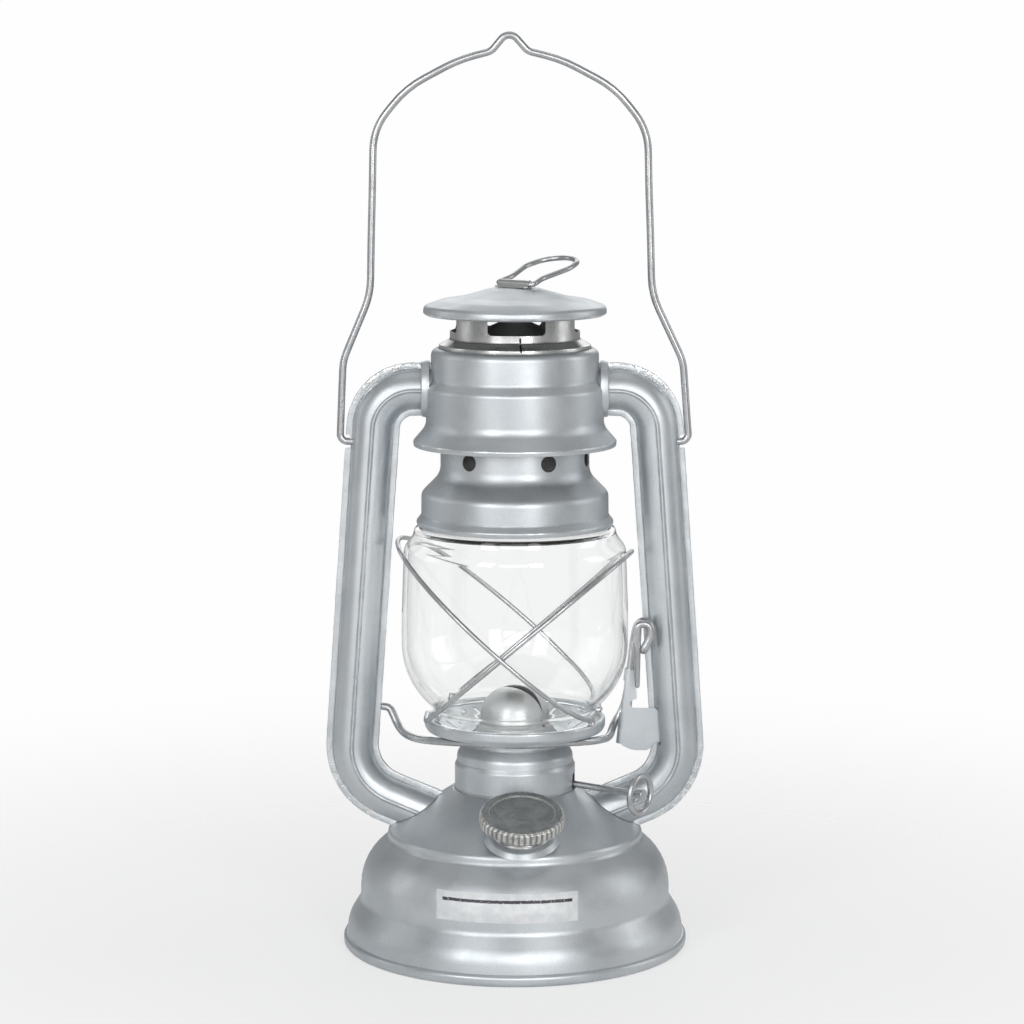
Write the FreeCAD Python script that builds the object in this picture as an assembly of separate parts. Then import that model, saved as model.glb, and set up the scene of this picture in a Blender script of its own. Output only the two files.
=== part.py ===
"""Tubular storm lantern with a tin tank, glass globe, lifting chimney and wire bail.

Millimetres. +Z is up, +X to the lantern's right, -Y its front. The origin is the centre
of the base ring's underside. Every outline of sheet metal gives the outer skin as
(radius, height, bend radius) points.
"""
import FreeCAD, Part
import math
import os

# ---------------------------------------------------------------- driving dimensions
TANK_SHEET = 0.6
HOOD_SHEET = 0.6
THIN_SHEET = 0.5
CROWN_SHEET = 0.4
GLASS_WALL = 1.8

BASE_RADIUS = 62.7
TANK_TOP_Z = 57.7
TANK_HOLE_RADIUS = 18.3

NECK_RADIUS = 10.3
NECK_TILT = 18.5
NECK_FOOT = (2.3, -37.5)
CAP_RADIUS = 15.1
CAP_TOP = 9.9
CAP_FLUTES = 44

FLANGE_TOP_Z = 58.1
COLLAR_RADIUS = 17.9
CHAMBER_TOP_Z = 77.3
DOME_RADIUS = 12.7
DOME_PEAK_Z = 94.7

SPINDLE_AZIMUTH = -36.0
SPINDLE_Z = 59.7
SPINDLE_OFFSET = 8.5
SPINDLE_RADIUS = 1.25
SPINDLE_REACH = 49.3
SPROCKET_RADIUS = 7.4
WICK_HALF_WIDTH = 6.5
WICK_HALF_THICKNESS = 0.8

PLATE_SEAT_Z = 82.7
RIM_TOP_Z = 84.0
GLOBE_RADIUS = 41.1
STACK_RADIUS = 26.8
HOOD_MOUTH_RADIUS = 27.5
SPRING_TOP_Z = 213.5
SPRING_SEAT_Z = 187.4
CROWN_RADIUS = 23.3
CAP_PEAK_Z = 240.0

STRAP_AZIMUTH = -40.0
RING_AXIS_Z = 241.2
RING_WIRE_RADIUS = 0.95
RING_REST_TILT = 14.5

TUBE_RADIUS = 7.15
TUBE_BEAD = 0.5
TUBE_SHEET = 0.5
FLANGE_REACH = 9.5
TUBE_TOP = (-50.0, 203.4)
TUBE_FOOT = (-60.17, 59.84)
TUBE_END = (-28.0, 46.2)
TUBE_TOP_BEND = 14.5
TUBE_FOOT_BEND = 21.0

BAIL_PIVOT_Z = 184.5
BAIL_WIRE_RADIUS = 1.3
LIFT_WIRE_RADIUS = 1.4
GUARD_WIRE_RADIUS = 0.85

LATCH_SHEET = 0.6
LATCH_BORE_RADIUS = 1.5
LATCH_AXIS_FOOT = (38.9, 73.8)
LATCH_AXIS_HEAD = (43.9, 119.3)

AXIS_Z = FreeCAD.Vector(0, 0, 1)
CENTRE = FreeCAD.Vector(0, 0, 0)


# ---------------------------------------------------------------- general helpers
def vec(x, y, z):
    return FreeCAD.Vector(x, y, z)


def around(azimuth, z=0.0, radius=1.0):
    """The point at an azimuth in degrees, a radius and a height."""
    angle = math.radians(azimuth)
    return vec(radius * math.cos(angle), radius * math.sin(angle), z)


def corner_cut(before, corner, after, bend):
    """Directions into and out of a corner, the turn, and the bend's tangent length."""
    inward = (corner - before).normalize()
    outward = (after - corner).normalize()
    turn = inward.getAngle(outward)
    if turn < 1e-4:
        return inward, outward, 0.0, 0.0
    if bend is None:
        shorter = min((corner - before).Length, (after - corner).Length)
        return inward, outward, turn, 0.48 * shorter
    return inward, outward, turn, bend * math.tan(turn / 2)


def rounded_edges(points, bends):
    """Straight runs joined by tangent arcs through a list of corners."""
    edges = []
    position = points[0]
    for index in range(1, len(points) - 1):
        corner = points[index]
        inward, outward, turn, cut = corner_cut(points[index - 1], corner, points[index + 1], bends[index])
        start = corner - inward * cut
        if (start - position).Length > 1e-6:
            edges.append(Part.LineSegment(position, start).toShape())
        position = start
        if cut > 0:
            end = corner + outward * cut
            radius = cut / math.tan(turn / 2)
            to_centre = (outward - inward).normalize()
            middle = corner + to_centre * (radius / math.cos(turn / 2) - radius)
            edges.append(Part.Arc(start, middle, end).toShape())
            position = end
    if (points[-1] - position).Length > 1e-6:
        edges.append(Part.LineSegment(position, points[-1]).toShape())
    return edges


def outline_face(points):
    """A closed face in the XZ plane from (radius, height, bend radius) corners."""
    corners = [vec(r, 0, z) for r, z, _ in points]
    corners.append(corners[0])
    bends = [bend for _, _, bend in points]
    bends.append(0)
    return Part.Face(Part.Wire(rounded_edges(corners, bends)))


def turned(points):
    """A solid of revolution about +Z from a closed outline."""
    return outline_face(points).revolve(CENTRE, AXIS_Z, 360)


def inner_skin(points, thickness):
    """The outline's offset to its left, towards the axis on a climbing outline."""
    flat = [vec(r, 0, z) for r, z, _ in points]
    lefts = []
    for start, end in zip(flat, flat[1:]):
        run = (end - start).normalize()
        lefts.append(vec(-run.z, 0, run.x))
    skin = []
    for index, (r, z, bend) in enumerate(points):
        if index == 0:
            shift = lefts[0] * thickness
        elif index == len(points) - 1:
            shift = lefts[-1] * thickness
        else:
            before, after = lefts[index - 1], lefts[index]
            shift = (before + after) * (thickness / (1 + before.dot(after)))
            turns_left = before.cross(after).y < 0
            bend = max(bend - thickness, 0) if turns_left else bend + thickness
            if bend < 0.05:
                bend = 0
        skin.append((r + shift.x, z + shift.z, bend))
    return skin


def spun_sheet(points, thickness):
    """Sheet metal spun to an outer outline, with its thickness inside."""
    inside = inner_skin(points, thickness)
    return turned(points + inside[::-1])


def envelope(points):
    """The filled solid inside an outer outline."""
    return turned([(0, points[0][1], 0)] + points + [(0, points[-1][1], 0)])


def disc_face(centre, normal, radius):
    return Part.Face(Part.Wire(Part.makeCircle(radius, centre, normal)))


def rod(start, end, radius):
    run = end - start
    return Part.makeCylinder(radius, run.Length, start, run)


def swept(section, points, bends):
    """A section carried along straight runs and tangent arcs, as one solid."""
    pieces = []
    position = points[0]
    for index in range(1, len(points) - 1):
        corner = points[index]
        inward, outward, turn, cut = corner_cut(points[index - 1], corner, points[index + 1], bends[index])
        start = corner - inward * cut
        run = start - position
        if run.Length > 1e-4:
            pieces.append(section.extrude(run))
            section.translate(run)
        position = start
        if cut > 0:
            radius = cut / math.tan(turn / 2)
            to_centre = (outward - inward).normalize()
            centre = corner + to_centre * (radius / math.cos(turn / 2))
            axis = inward.cross(outward).normalize()
            pieces.append(section.revolve(centre, axis, math.degrees(turn)))
            section.rotate(centre, axis, math.degrees(turn))
            position = corner + outward * cut
    pieces.append(section.extrude(points[-1] - position))
    return pieces[0].fuse(pieces[1:]).removeSplitter()


def wire_rod(points, radius, bends=None):
    """Round wire bent through a list of corners; bends default to the largest that fit."""
    if bends is None:
        bends = [None] * len(points)
    section = disc_face(points[0], points[1] - points[0], radius)
    return swept(section, points, bends)


def block(low, high):
    """A box from its lowest to its highest corner."""
    return Part.makeBox(high[0] - low[0], high[1] - low[1], high[2] - low[2], vec(*low))


def turned_block(low, high, azimuth):
    """A box whose first side lies along an azimuth."""
    shape = block(low, high)
    shape.rotate(CENTRE, AXIS_Z, azimuth)
    return shape


def radial_holes(radius, z, azimuths, hole_radius):
    """Round cutters that point outwards through a wall."""
    cutters = []
    for azimuth in azimuths:
        inner = around(azimuth, z, radius - 4)
        cutters.append(rod(inner, around(azimuth, z, radius + 4), hole_radius))
    return cutters


def save(name, shape):
    solids = shape.Solids
    if not solids or not shape.isValid():
        print("PROBLEM", name, "valid", shape.isValid(), "solids", len(solids))
    kept = solids[0] if len(solids) == 1 else Part.Compound(solids)
    kept.exportStep("parts/" + name + ".step")
    box = kept.BoundBox
    print("%-20s solids %d volume %9.1f  x %7.2f %7.2f  y %7.2f %7.2f  z %7.2f %7.2f" % (
        name, len(solids), kept.Volume, box.XMin, box.XMax, box.YMin, box.YMax, box.ZMin, box.ZMax))


# ---------------------------------------------------------------- outlines
TANK_OUTLINE = [
    (61.75, 1.0, 0), (60.8, 10.2, 13), (56.4, 17.3, 1.6), (56.1, 31.0, 20),
    (46.4, 39.5, 0.9), (46.3, 42.4, 1.0), (22.6, TANK_TOP_Z, 1.0), (TANK_HOLE_RADIUS, TANK_TOP_Z, 0)]

HOOD_OUTLINE = [
    (36.6, 183.3, 0), (36.3, 184.6, 1.2), (31.9, 190.2, 2.6), (32.3, 203.8, 1.0),
    (30.2, 207.1, 1.0), (30.1, 218.4, 2.4), (HOOD_MOUTH_RADIUS, 218.4, 0)]

GLOBE_OUTLINE = [
    (29.3, PLATE_SEAT_Z, 0), (29.3, 87.2, 2.6), (GLOBE_RADIUS, 98.9, 30), (41.0, 122.0, 90),
    (40.1, 146.2, 5), (36.9, 150.4, 4), (36.2, 153.4, 1.6), (32.4, 154.6, 1.6), (32.2, 158.6, 0)]

BELL_OUTLINE = [
    (35.3, 154.3, 0), (35.6, 155.8, 0.9), (33.8, 158.2, 0.9), (33.7, 166.2, 2.6),
    (STACK_RADIUS, 173.2, 2.2), (STACK_RADIUS, 218.9, 0)]

CHIMNEY_CAP_OUTLINE = [
    (31.5, 230.0, 0), (32.9, 230.6, 0.8), (32.9, 233.2, 0.9), (26.6, 235.5, 9),
    (19.4, 236.6, 3), (9.0, 239.6, 8), (0, CAP_PEAK_Z, 0)]


# ---------------------------------------------------------------- tank
def neck_frame():
    """The filler neck's foot on the cone and its axis."""
    foot_radius = math.hypot(*NECK_FOOT)
    (wide, low, _), (narrow, high, _) = TANK_OUTLINE[5], TANK_OUTLINE[6]
    foot_z = low + (wide - foot_radius) * (high - low) / (wide - narrow)
    tilt = math.radians(NECK_TILT)
    axis = vec(NECK_FOOT[0] / foot_radius * math.sin(tilt),
               NECK_FOOT[1] / foot_radius * math.sin(tilt), math.cos(tilt))
    return vec(NECK_FOOT[0], NECK_FOOT[1], foot_z), axis


def on_neck(shape):
    """Place a shape modelled about +Z on the filler neck's foot and axis."""
    foot, axis = neck_frame()
    shape.Placement = FreeCAD.Placement(foot, FreeCAD.Rotation(AXIS_Z, axis)).multiply(shape.Placement)
    return shape


def tube_bores(length):
    """Where the side tubes' bores pass through the tank cone."""
    foot = vec(TUBE_FOOT[0], 0, TUBE_FOOT[1])
    run = (vec(TUBE_END[0], 0, TUBE_END[1]) - foot).normalize()
    left = rod(foot + run * 16, foot + run * length, TUBE_RADIUS - TUBE_SHEET - 0.3)
    return [left, left.mirror(CENTRE, vec(1, 0, 0))]


def tank_shell():
    shell = spun_sheet(TANK_OUTLINE, TANK_SHEET)
    neck_hole = on_neck(Part.makeCylinder(NECK_RADIUS, 16, vec(0, 0, -8)))
    return shell.cut(tube_bores(34) + [neck_hole])


def tank_bottom():
    """A recessed pan whose rim is rolled up round the shell's lower edge."""
    return turned([
        (0, 3.0, 0), (60.0, 3.0, 0), (60.0, 0, 0), (BASE_RADIUS, 0, 0.9), (BASE_RADIUS, 4.3, 0.4),
        (61.85, 4.3, 0), (61.85, 0.9, 0), (60.7, 0.9, 0), (60.7, 3.6, 0), (0, 3.6, 0)])


def fill_line_label():
    """A foil label that follows the bulge of the tank."""
    skin = spun_sheet([(r + 0.25, z, bend) for r, z, bend in TANK_OUTLINE[2:5]], 0.25)
    skin = skin.cut(envelope(TANK_OUTLINE))
    patch = skin.common(block((-27.6, -70, 21.5), (22.1, 0, 31.5)))
    return patch


def air_duct():
    """A trough under the cone that joins both side tubes to the burner collar."""
    half_width, floor, wide, top = 20.0, 40.4, 45.2, 55.9
    room = envelope([(wide, floor, 0), (wide, 42.2, 0), (24.0, top, 0)])
    trough = room.common(block((-wide, -half_width, floor), (wide, half_width, top)))
    inner_half = half_width - THIN_SHEET
    inside = block((1 - wide, -inner_half, floor + THIN_SHEET), (wide - 1, inner_half, 60))
    collar_hole = Part.makeCylinder(COLLAR_RADIUS + 0.05, 30, vec(0, 0, 35))
    return trough.cut([inside, collar_hole])


def filler_neck():
    """A short pipe with rolled thread ridges, soldered into the cone."""
    ridges = []
    for z in (3.4, 5.4, 7.4):
        ridges += [(9.9, z - 1.0, 0), (NECK_RADIUS, z - 0.4, 0), (NECK_RADIUS, z + 0.2, 0)]
    outline = [(NECK_RADIUS, -6.0, 0), (NECK_RADIUS, 1.6, 0)] + ridges + [(9.9, 8.0, 0)]
    return on_neck(turned(outline + [(9.0, 8.0, 0), (9.0, -6.0, 0)]))


def cap_gasket():
    return on_neck(turned([(8.4, 8.0, 0), (10.2, 8.0, 0), (10.2, 8.7, 0), (8.4, 8.7, 0)]))


def filler_cap():
    """A die-cast cap with a fluted rim and a sunken top."""
    rim_low = CAP_TOP - 4.4
    body = turned([
        (0, 8.7, 0), (10.38, 8.7, 0), (10.38, rim_low, 0), (CAP_RADIUS - 0.6, rim_low, 0),
        (CAP_RADIUS, rim_low + 0.6, 0), (CAP_RADIUS, CAP_TOP - 0.7, 0), (CAP_RADIUS - 0.8, CAP_TOP, 0),
        (11.6, CAP_TOP, 0), (11.1, CAP_TOP - 0.5, 0), (0, CAP_TOP - 0.5, 0)])
    flutes = []
    for index in range(CAP_FLUTES):
        edge = around(360.0 * index / CAP_FLUTES, rim_low - 1, CAP_RADIUS + 0.35)
        flutes.append(Part.makeCylinder(0.75, 6.4, edge))
    return on_neck(body.cut(flutes))


# ---------------------------------------------------------------- burner
def along_spindle(reach, offset=SPINDLE_OFFSET, z=SPINDLE_Z):
    """A point at a reach along the spindle's azimuth and an offset square to it."""
    return around(SPINDLE_AZIMUTH, z, reach) + around(SPINDLE_AZIMUTH + 90, 0, offset)


def burner_collar():
    """The cup that the burner drops into, with windows to the air duct."""
    cup = turned([
        (0, 39.9, 0), (COLLAR_RADIUS, 39.9, 0), (COLLAR_RADIUS, TANK_TOP_Z, 0), (22.4, TANK_TOP_Z, 0),
        (22.4, FLANGE_TOP_Z, 0), (17.0, FLANGE_TOP_Z, 0), (17.0, 40.4, 0), (0, 40.4, 0)])
    wick_slot = turned_block((-7.4, -1.6, 30), (7.4, 1.6, 45), SPINDLE_AZIMUTH)
    windows = []
    for azimuth in (0, 180):
        windows.append(rod(around(azimuth, 47.5, 14), around(azimuth, 47.5, 20), 5.5))
    return cup.cut(windows + [wick_slot])


def burner_chamber():
    """The drum round the burner, with a slot for the wick spindle."""
    outline = [
        (21.9, FLANGE_TOP_Z, 0), (21.9, 67.2, 3.0), (18.6, 73.6, 2.0),
        (18.6, CHAMBER_TOP_Z, 0.6), (13.6, CHAMBER_TOP_Z, 0)]
    slot = turned_block((14, SPINDLE_OFFSET - 1.6, 55), (30, SPINDLE_OFFSET + 1.6, 62.2), SPINDLE_AZIMUTH)
    slot_head = rod(along_spindle(14, z=62.2), along_spindle(30, z=62.2), 1.6)
    return spun_sheet(outline, THIN_SHEET).cut([slot, slot_head])


def burner_base():
    """A pierced disc that carries the wick tube and the spindle's bush."""
    disc = turned([(0, 55.4, 0), (16.95, 55.4, 0), (16.95, 57.7, 0), (0, 57.7, 0)])
    wick_slot = turned_block((-7.4, -1.6, 50), (7.4, 1.6, 60), SPINDLE_AZIMUTH)
    wheel_room = turned_block((-6.0, 1.6, 50), (6.0, 15.6, 60), SPINDLE_AZIMUTH)
    bush_seat = rod(along_spindle(6), along_spindle(20), 2.1)
    air_holes = []
    for azimuth in range(180, 360, 20):
        centre = around(azimuth + SPINDLE_AZIMUTH, 50, 11.5)
        air_holes.append(Part.makeCylinder(1.3, 10, centre))
    return disc.cut(air_holes + [wick_slot, wheel_room, bush_seat])


def wick_tube():
    outer = turned_block((-7.4, -1.6, 36.0), (7.4, 1.6, 85.5), SPINDLE_AZIMUTH)
    inner = turned_block((-6.9, -1.2, 35.0), (6.9, 1.2, 86.5), SPINDLE_AZIMUTH)
    window = turned_block((-5.6, 0.0, 51.5), (5.6, 3.0, 68.0), SPINDLE_AZIMUTH)
    return outer.cut([inner, window])


def spindle_bush():
    outer = rod(along_spindle(7.5), along_spindle(13.6), 2.1)
    return outer.cut(rod(along_spindle(5), along_spindle(18), SPINDLE_RADIUS + 0.06))


def burner_cone():
    """The round dome over the flame, slit along the wick."""
    outline = [
        (15.2, CHAMBER_TOP_Z + 0.25, 0), (13.4, 81.3, 1.6), (DOME_RADIUS - 0.2, 82.3, 0.5),
        (DOME_RADIUS, 83.1, 0), (DOME_RADIUS, DOME_PEAK_Z, DOME_RADIUS - 1.2), (0, DOME_PEAK_Z, 0)]
    skin = inner_skin(outline, THIN_SHEET)
    dome = turned(outline + skin[::-1])
    tip, belly = 12.4, 2.4
    right_side = Part.Arc(vec(-tip, 0, 83.6), vec(0, belly, 83.6), vec(tip, 0, 83.6)).toShape()
    left_side = Part.Arc(vec(tip, 0, 83.6), vec(0, -belly, 83.6), vec(-tip, 0, 83.6)).toShape()
    slit = Part.Face(Part.Wire([right_side, left_side])).extrude(vec(0, 0, 20))
    slit.rotate(CENTRE, AXIS_Z, SPINDLE_AZIMUTH)
    vent = rod(around(SPINDLE_AZIMUTH, 82.0, 9), around(SPINDLE_AZIMUTH, 82.0, 18), 0.7)
    return dome.cut([slit, vent])


def wick_spindle():
    """The shaft with its hand ring, hub and single spoke."""
    shaft = rod(along_spindle(-6.2), along_spindle(SPINDLE_REACH + 1.2), SPINDLE_RADIUS)
    hub_centre = along_spindle(SPINDLE_REACH)
    direction = around(SPINDLE_AZIMUTH)
    ring = Part.makeTorus(6.75, 1.12, hub_centre, direction)
    hub = rod(along_spindle(SPINDLE_REACH - 1.4), along_spindle(SPINDLE_REACH + 1.6), 2.0)
    side = around(SPINDLE_AZIMUTH + 90)
    spoke_way = (side * -0.94 + AXIS_Z * -0.34).normalize()
    spoke = rod(hub_centre, hub_centre + spoke_way * 6.6, 1.0)
    return shaft.fuse([ring, hub, spoke]).removeSplitter()


def wick_sprockets():
    """Two toothed wheels on the spindle that bite the wick."""
    wheels = []
    for reach in (-4.0, 4.0):
        wheel = rod(along_spindle(reach - 0.5), along_spindle(reach + 0.5), SPROCKET_RADIUS)
        bore = rod(along_spindle(reach - 2), along_spindle(reach + 2), SPINDLE_RADIUS)
        gaps = []
        for tooth in range(14):
            gap = rod(along_spindle(reach - 2), along_spindle(reach + 2), 0.9)
            gap.translate(AXIS_Z * (SPROCKET_RADIUS + 0.1))
            gap.rotate(along_spindle(0), around(SPINDLE_AZIMUTH), 360.0 * (tooth + 0.5) / 14)
            gaps.append(gap)
        wheels.append(wheel.cut(gaps + [bore]))
    return Part.Compound(wheels)


def wick():
    return turned_block((-WICK_HALF_WIDTH, -WICK_HALF_THICKNESS, 14.0),
                        (WICK_HALF_WIDTH, WICK_HALF_THICKNESS, 87.4), SPINDLE_AZIMUTH)


# ---------------------------------------------------------------- side tubes
def half_tube_section():
    """The front half of a side tube, square to +X: arched body, crest bead, two flanges."""
    def at(u, v):
        return vec(0, -v, u)

    shoulder_v = TUBE_SHEET
    shoulder_u = math.sqrt(TUBE_RADIUS ** 2 - shoulder_v ** 2)
    bead_u = 0.9
    bead_v = math.sqrt(TUBE_RADIUS ** 2 - bead_u ** 2)
    slope = math.radians(45)
    side_u, side_v = TUBE_RADIUS * math.cos(slope), TUBE_RADIUS * math.sin(slope)
    bore = TUBE_RADIUS - TUBE_SHEET
    edges = [
        Part.LineSegment(at(FLANGE_REACH, 0), at(FLANGE_REACH, TUBE_SHEET)).toShape(),
        Part.LineSegment(at(FLANGE_REACH, TUBE_SHEET), at(shoulder_u, shoulder_v)).toShape(),
        Part.Arc(at(shoulder_u, shoulder_v), at(side_u, side_v), at(bead_u, bead_v)).toShape(),
        Part.Arc(at(bead_u, bead_v), at(0, TUBE_RADIUS + TUBE_BEAD), at(-bead_u, bead_v)).toShape(),
        Part.Arc(at(-bead_u, bead_v), at(-side_u, side_v), at(-shoulder_u, shoulder_v)).toShape(),
        Part.LineSegment(at(-shoulder_u, shoulder_v), at(-FLANGE_REACH, TUBE_SHEET)).toShape(),
        Part.LineSegment(at(-FLANGE_REACH, TUBE_SHEET), at(-FLANGE_REACH, 0)).toShape(),
        Part.LineSegment(at(-FLANGE_REACH, 0), at(-bore, 0)).toShape(),
        Part.Arc(at(-bore, 0), at(0, bore), at(bore, 0)).toShape(),
        Part.LineSegment(at(bore, 0), at(FLANGE_REACH, 0)).toShape()]
    return Part.Face(Part.Wire(edges))


def bail_notches():
    """Pivot hole through the tube's outer wall and the relief in its flange."""
    hole = rod(vec(-66, 0, BAIL_PIVOT_Z), vec(-52, 0, BAIL_PIVOT_Z), BAIL_WIRE_RADIUS + 0.07)
    relief = rod(vec(-66, 0, BAIL_PIVOT_Z), vec(-59.4, 0, BAIL_PIVOT_Z), 2.6)
    return [hole, relief]


def left_tube_front():
    start = vec(-28.0, 0, TUBE_TOP[1])
    section = half_tube_section()
    section.translate(start)
    points = [start, vec(TUBE_TOP[0], 0, TUBE_TOP[1]), vec(TUBE_FOOT[0], 0, TUBE_FOOT[1]),
              vec(TUBE_END[0], 0, TUBE_END[1])]
    tube = swept(section, points, [0, TUBE_TOP_BEND, TUBE_FOOT_BEND, 0])
    tube = tube.cut([envelope(TANK_OUTLINE), envelope(HOOD_OUTLINE)] + bail_notches())
    return max(tube.Solids, key=lambda solid: solid.Volume)


def mirrored(shape, normal):
    return shape.mirror(CENTRE, normal)


def latch_slot():
    return block((50.6, -5.4, 73.5), (55.0, -1.1, 89.1))


# ---------------------------------------------------------------- hood and chimney
def hood_socket(side):
    """An oval collar that joins a side tube to the hood."""
    def oval(half_height, half_depth):
        long_way = Part.Ellipse(vec(0, 0, TUBE_TOP[1]), half_height, half_depth).toShape()
        long_way.rotate(vec(0, 0, TUBE_TOP[1]), vec(0, 1, 0), 90)
        return Part.Face(Part.Wire(long_way)).extrude(vec(34.2, 0, 0))

    collar = oval(10.3, 8.3).cut(oval(9.65, 7.75)).cut(envelope(HOOD_OUTLINE))
    collar = max(collar.Solids, key=lambda solid: solid.Volume)
    if side < 0:
        collar = mirrored(collar, vec(1, 0, 0))
    return collar


def hood():
    bores = []
    for azimuth in (0, 180):
        bores.append(rod(around(azimuth, TUBE_TOP[1], 20), around(azimuth, TUBE_TOP[1], 40), 6.0))
    return spun_sheet(HOOD_OUTLINE, HOOD_SHEET).cut(bores)


def hood_guide_ring():
    outer = 30.1 - HOOD_SHEET
    return turned([
        (STACK_RADIUS + 0.3, SPRING_TOP_Z, 0), (outer, SPRING_TOP_Z, 0),
        (outer, SPRING_TOP_Z + 0.8, 0), (STACK_RADIUS + 0.3, SPRING_TOP_Z + 0.8, 0)])


def chimney_spring():
    """An open coil between the seat on the stack and the guide ring."""
    wire, mean, turns, steps = 0.45, 28.2, 4.5, 12
    low = SPRING_SEAT_Z + wire + 0.1
    rise = (SPRING_TOP_Z - wire - 0.1 - low) / (turns * steps)
    points = []
    for index in range(int(turns * steps) + 1):
        points.append(around(index * 360.0 / steps, low + index * rise, mean))
    return wire_rod(points, wire)


def spring_seat():
    return turned([
        (STACK_RADIUS, SPRING_SEAT_Z - 1.0, 0), (29.2, SPRING_SEAT_Z - 1.0, 0),
        (29.2, SPRING_SEAT_Z, 0), (STACK_RADIUS, SPRING_SEAT_Z, 0)])


def chimney_bell():
    """The stack and its flared foot, pierced by two sets of vent holes."""
    azimuths = [-127.5, -63.5, -16.0, 52.5, 116.5, 164.0]
    return spun_sheet(BELL_OUTLINE, THIN_SHEET).cut(radial_holes(STACK_RADIUS, 179.3, azimuths, 3.0))


def crown():
    """The windowed tin collar between stack and cap, with a lapped seam in front."""
    outline = [
        (STACK_RADIUS + CROWN_SHEET, 217.4, 0), (STACK_RADIUS + CROWN_SHEET, 219.6, 0.8),
        (CROWN_RADIUS, 221.6, 1.0), (CROWN_RADIUS, 238.0, 0)]
    wall = spun_sheet(outline, CROWN_SHEET)
    windows = []
    width, bottom, top, bend = 20.4, 224.4, 230.9, 1.5
    for azimuth in (-88.5, 1.5, 91.5, 181.5):
        face = outline_face([
            (-width / 2, bottom, bend), (width / 2, bottom, bend),
            (width / 2, top, bend), (-width / 2, top, bend)])
        window = face.extrude(vec(0, -30, 0))
        window.translate(vec(0, -14, 0))
        window.rotate(CENTRE, AXIS_Z, azimuth + 90)
        windows.append(window)
    seam = turned_block((20, -0.35, 217.0), (30, 0.35, 225.0), -85.4)
    return wall.cut(windows + [seam]).cut(under_cap())


def under_cap():
    """Everything above the chimney cap's inner skin."""
    skin = inner_skin(CHIMNEY_CAP_OUTLINE, THIN_SHEET)
    return turned(skin[:-1] + [(0, skin[-1][1], 0), (0, 260, 0), (50, 260, 0), (50, skin[0][1], 0)])


def heat_baffle():
    outline = [(CROWN_RADIUS - CROWN_SHEET, 221.9, 0), (17.0, 222.6, 2), (6.0, 227.4, 0)]
    return spun_sheet(outline, CROWN_SHEET)


def chimney_cap():
    skin = inner_skin(CHIMNEY_CAP_OUTLINE, THIN_SHEET)
    skin[-1] = (0, skin[-1][1], 0)
    return turned(CHIMNEY_CAP_OUTLINE + skin[::-1])


def ring_strap():
    """A pressed strap whose tunnel holds the pull ring's axle."""
    half_length, half_width, thickness = 6.8, 3.1, 0.5
    bore = RING_WIRE_RADIUS + 0.07
    outer = bore + thickness
    low = CAP_PEAK_Z
    feet = block((-half_length, -half_width, low), (half_length, half_width, low + thickness))
    arch = rod(vec(-half_length, 0, RING_AXIS_Z), vec(half_length, 0, RING_AXIS_Z), outer)
    legs = block((-half_length, -outer, low), (half_length, outer, RING_AXIS_Z))
    tunnel = rod(vec(-9, 0, RING_AXIS_Z), vec(9, 0, RING_AXIS_Z), bore)
    tunnel_foot = block((-9, -bore, low - 1), (9, bore, RING_AXIS_Z))
    strap = feet.fuse([arch, legs]).cut([tunnel, tunnel_foot])
    strap = strap.common(block((-half_length, -half_width, low), (half_length, half_width, low + 9)))
    strap.rotate(CENTRE, AXIS_Z, STRAP_AZIMUTH)
    return strap


def pull_ring():
    """A pear-shaped wire loop that folds in the strap."""
    half = [(0.05, 0), (8.6, 0), (7.4, 7.0), (10.9, 20.0), (8.6, 28.6)]
    flat = half + [(0, 32.6)] + [(-a, b) for a, b in half[::-1]]
    along = around(STRAP_AZIMUTH)
    tilt = math.radians(RING_REST_TILT)
    outward = around(STRAP_AZIMUTH + 90) * math.cos(tilt) + AXIS_Z * math.sin(tilt)
    hinge = vec(0, 0, RING_AXIS_Z)
    points = [hinge + along * a + outward * b for a, b in flat]
    bends = [0, 1.6, 9, 10, 8, 9, 8, 10, 9, 1.6, 0]
    return wire_rod(points, RING_WIRE_RADIUS, bends)


# ---------------------------------------------------------------- bail
def bail_handle():
    half = [
        (55.0, BAIL_PIVOT_Z, 0), (62.9, BAIL_PIVOT_Z, 2.6), (61.5, 213.5, 18), (51.5, 237.5, 30),
        (50.1, 296.0, 13), (38.5, 310.6, 30), (20.0, 320.4, 50), (7.6, 323.4, 5)]
    corners = [(-x, z, bend) for x, z, bend in half] + [(0, 331.0, 3.6)] + half[::-1]
    points = [vec(x, 0, z) for x, z, _ in corners]
    return wire_rod(points, BAIL_WIRE_RADIUS, [bend for _, _, bend in corners])


# ---------------------------------------------------------------- cradle
def globe_plate():
    """The pierced dish that the globe stands on."""
    outline = [
        (32.3, 79.6, 0), (32.8, 80.4, 0.7), (32.8, RIM_TOP_Z, 0.6), (31.2, RIM_TOP_Z, 0.5),
        (31.1, PLATE_SEAT_Z, 0.5), (27.8, PLATE_SEAT_Z, 1.5), (19.8, 78.2, 2.0), (15.7, 78.2, 0)]
    dish = spun_sheet(outline, THIN_SHEET)
    slots = []
    for index in range(24):
        slot = turned_block((21.4, -0.8, 75), (25.6, 0.8, 86), 15.0 * index + 7.5)
        slots.append(slot)
    return dish.cut(slots)


def globe():
    """Clear glass with an open foot and an open top."""
    return spun_sheet(GLOBE_OUTLINE, GLASS_WALL)


def latch_axis_at(z):
    (low_x, low_z), (high_x, high_z) = LATCH_AXIS_FOOT, LATCH_AXIS_HEAD
    return low_x + (high_x - low_x) * (z - low_z) / (high_z - low_z)


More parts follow.
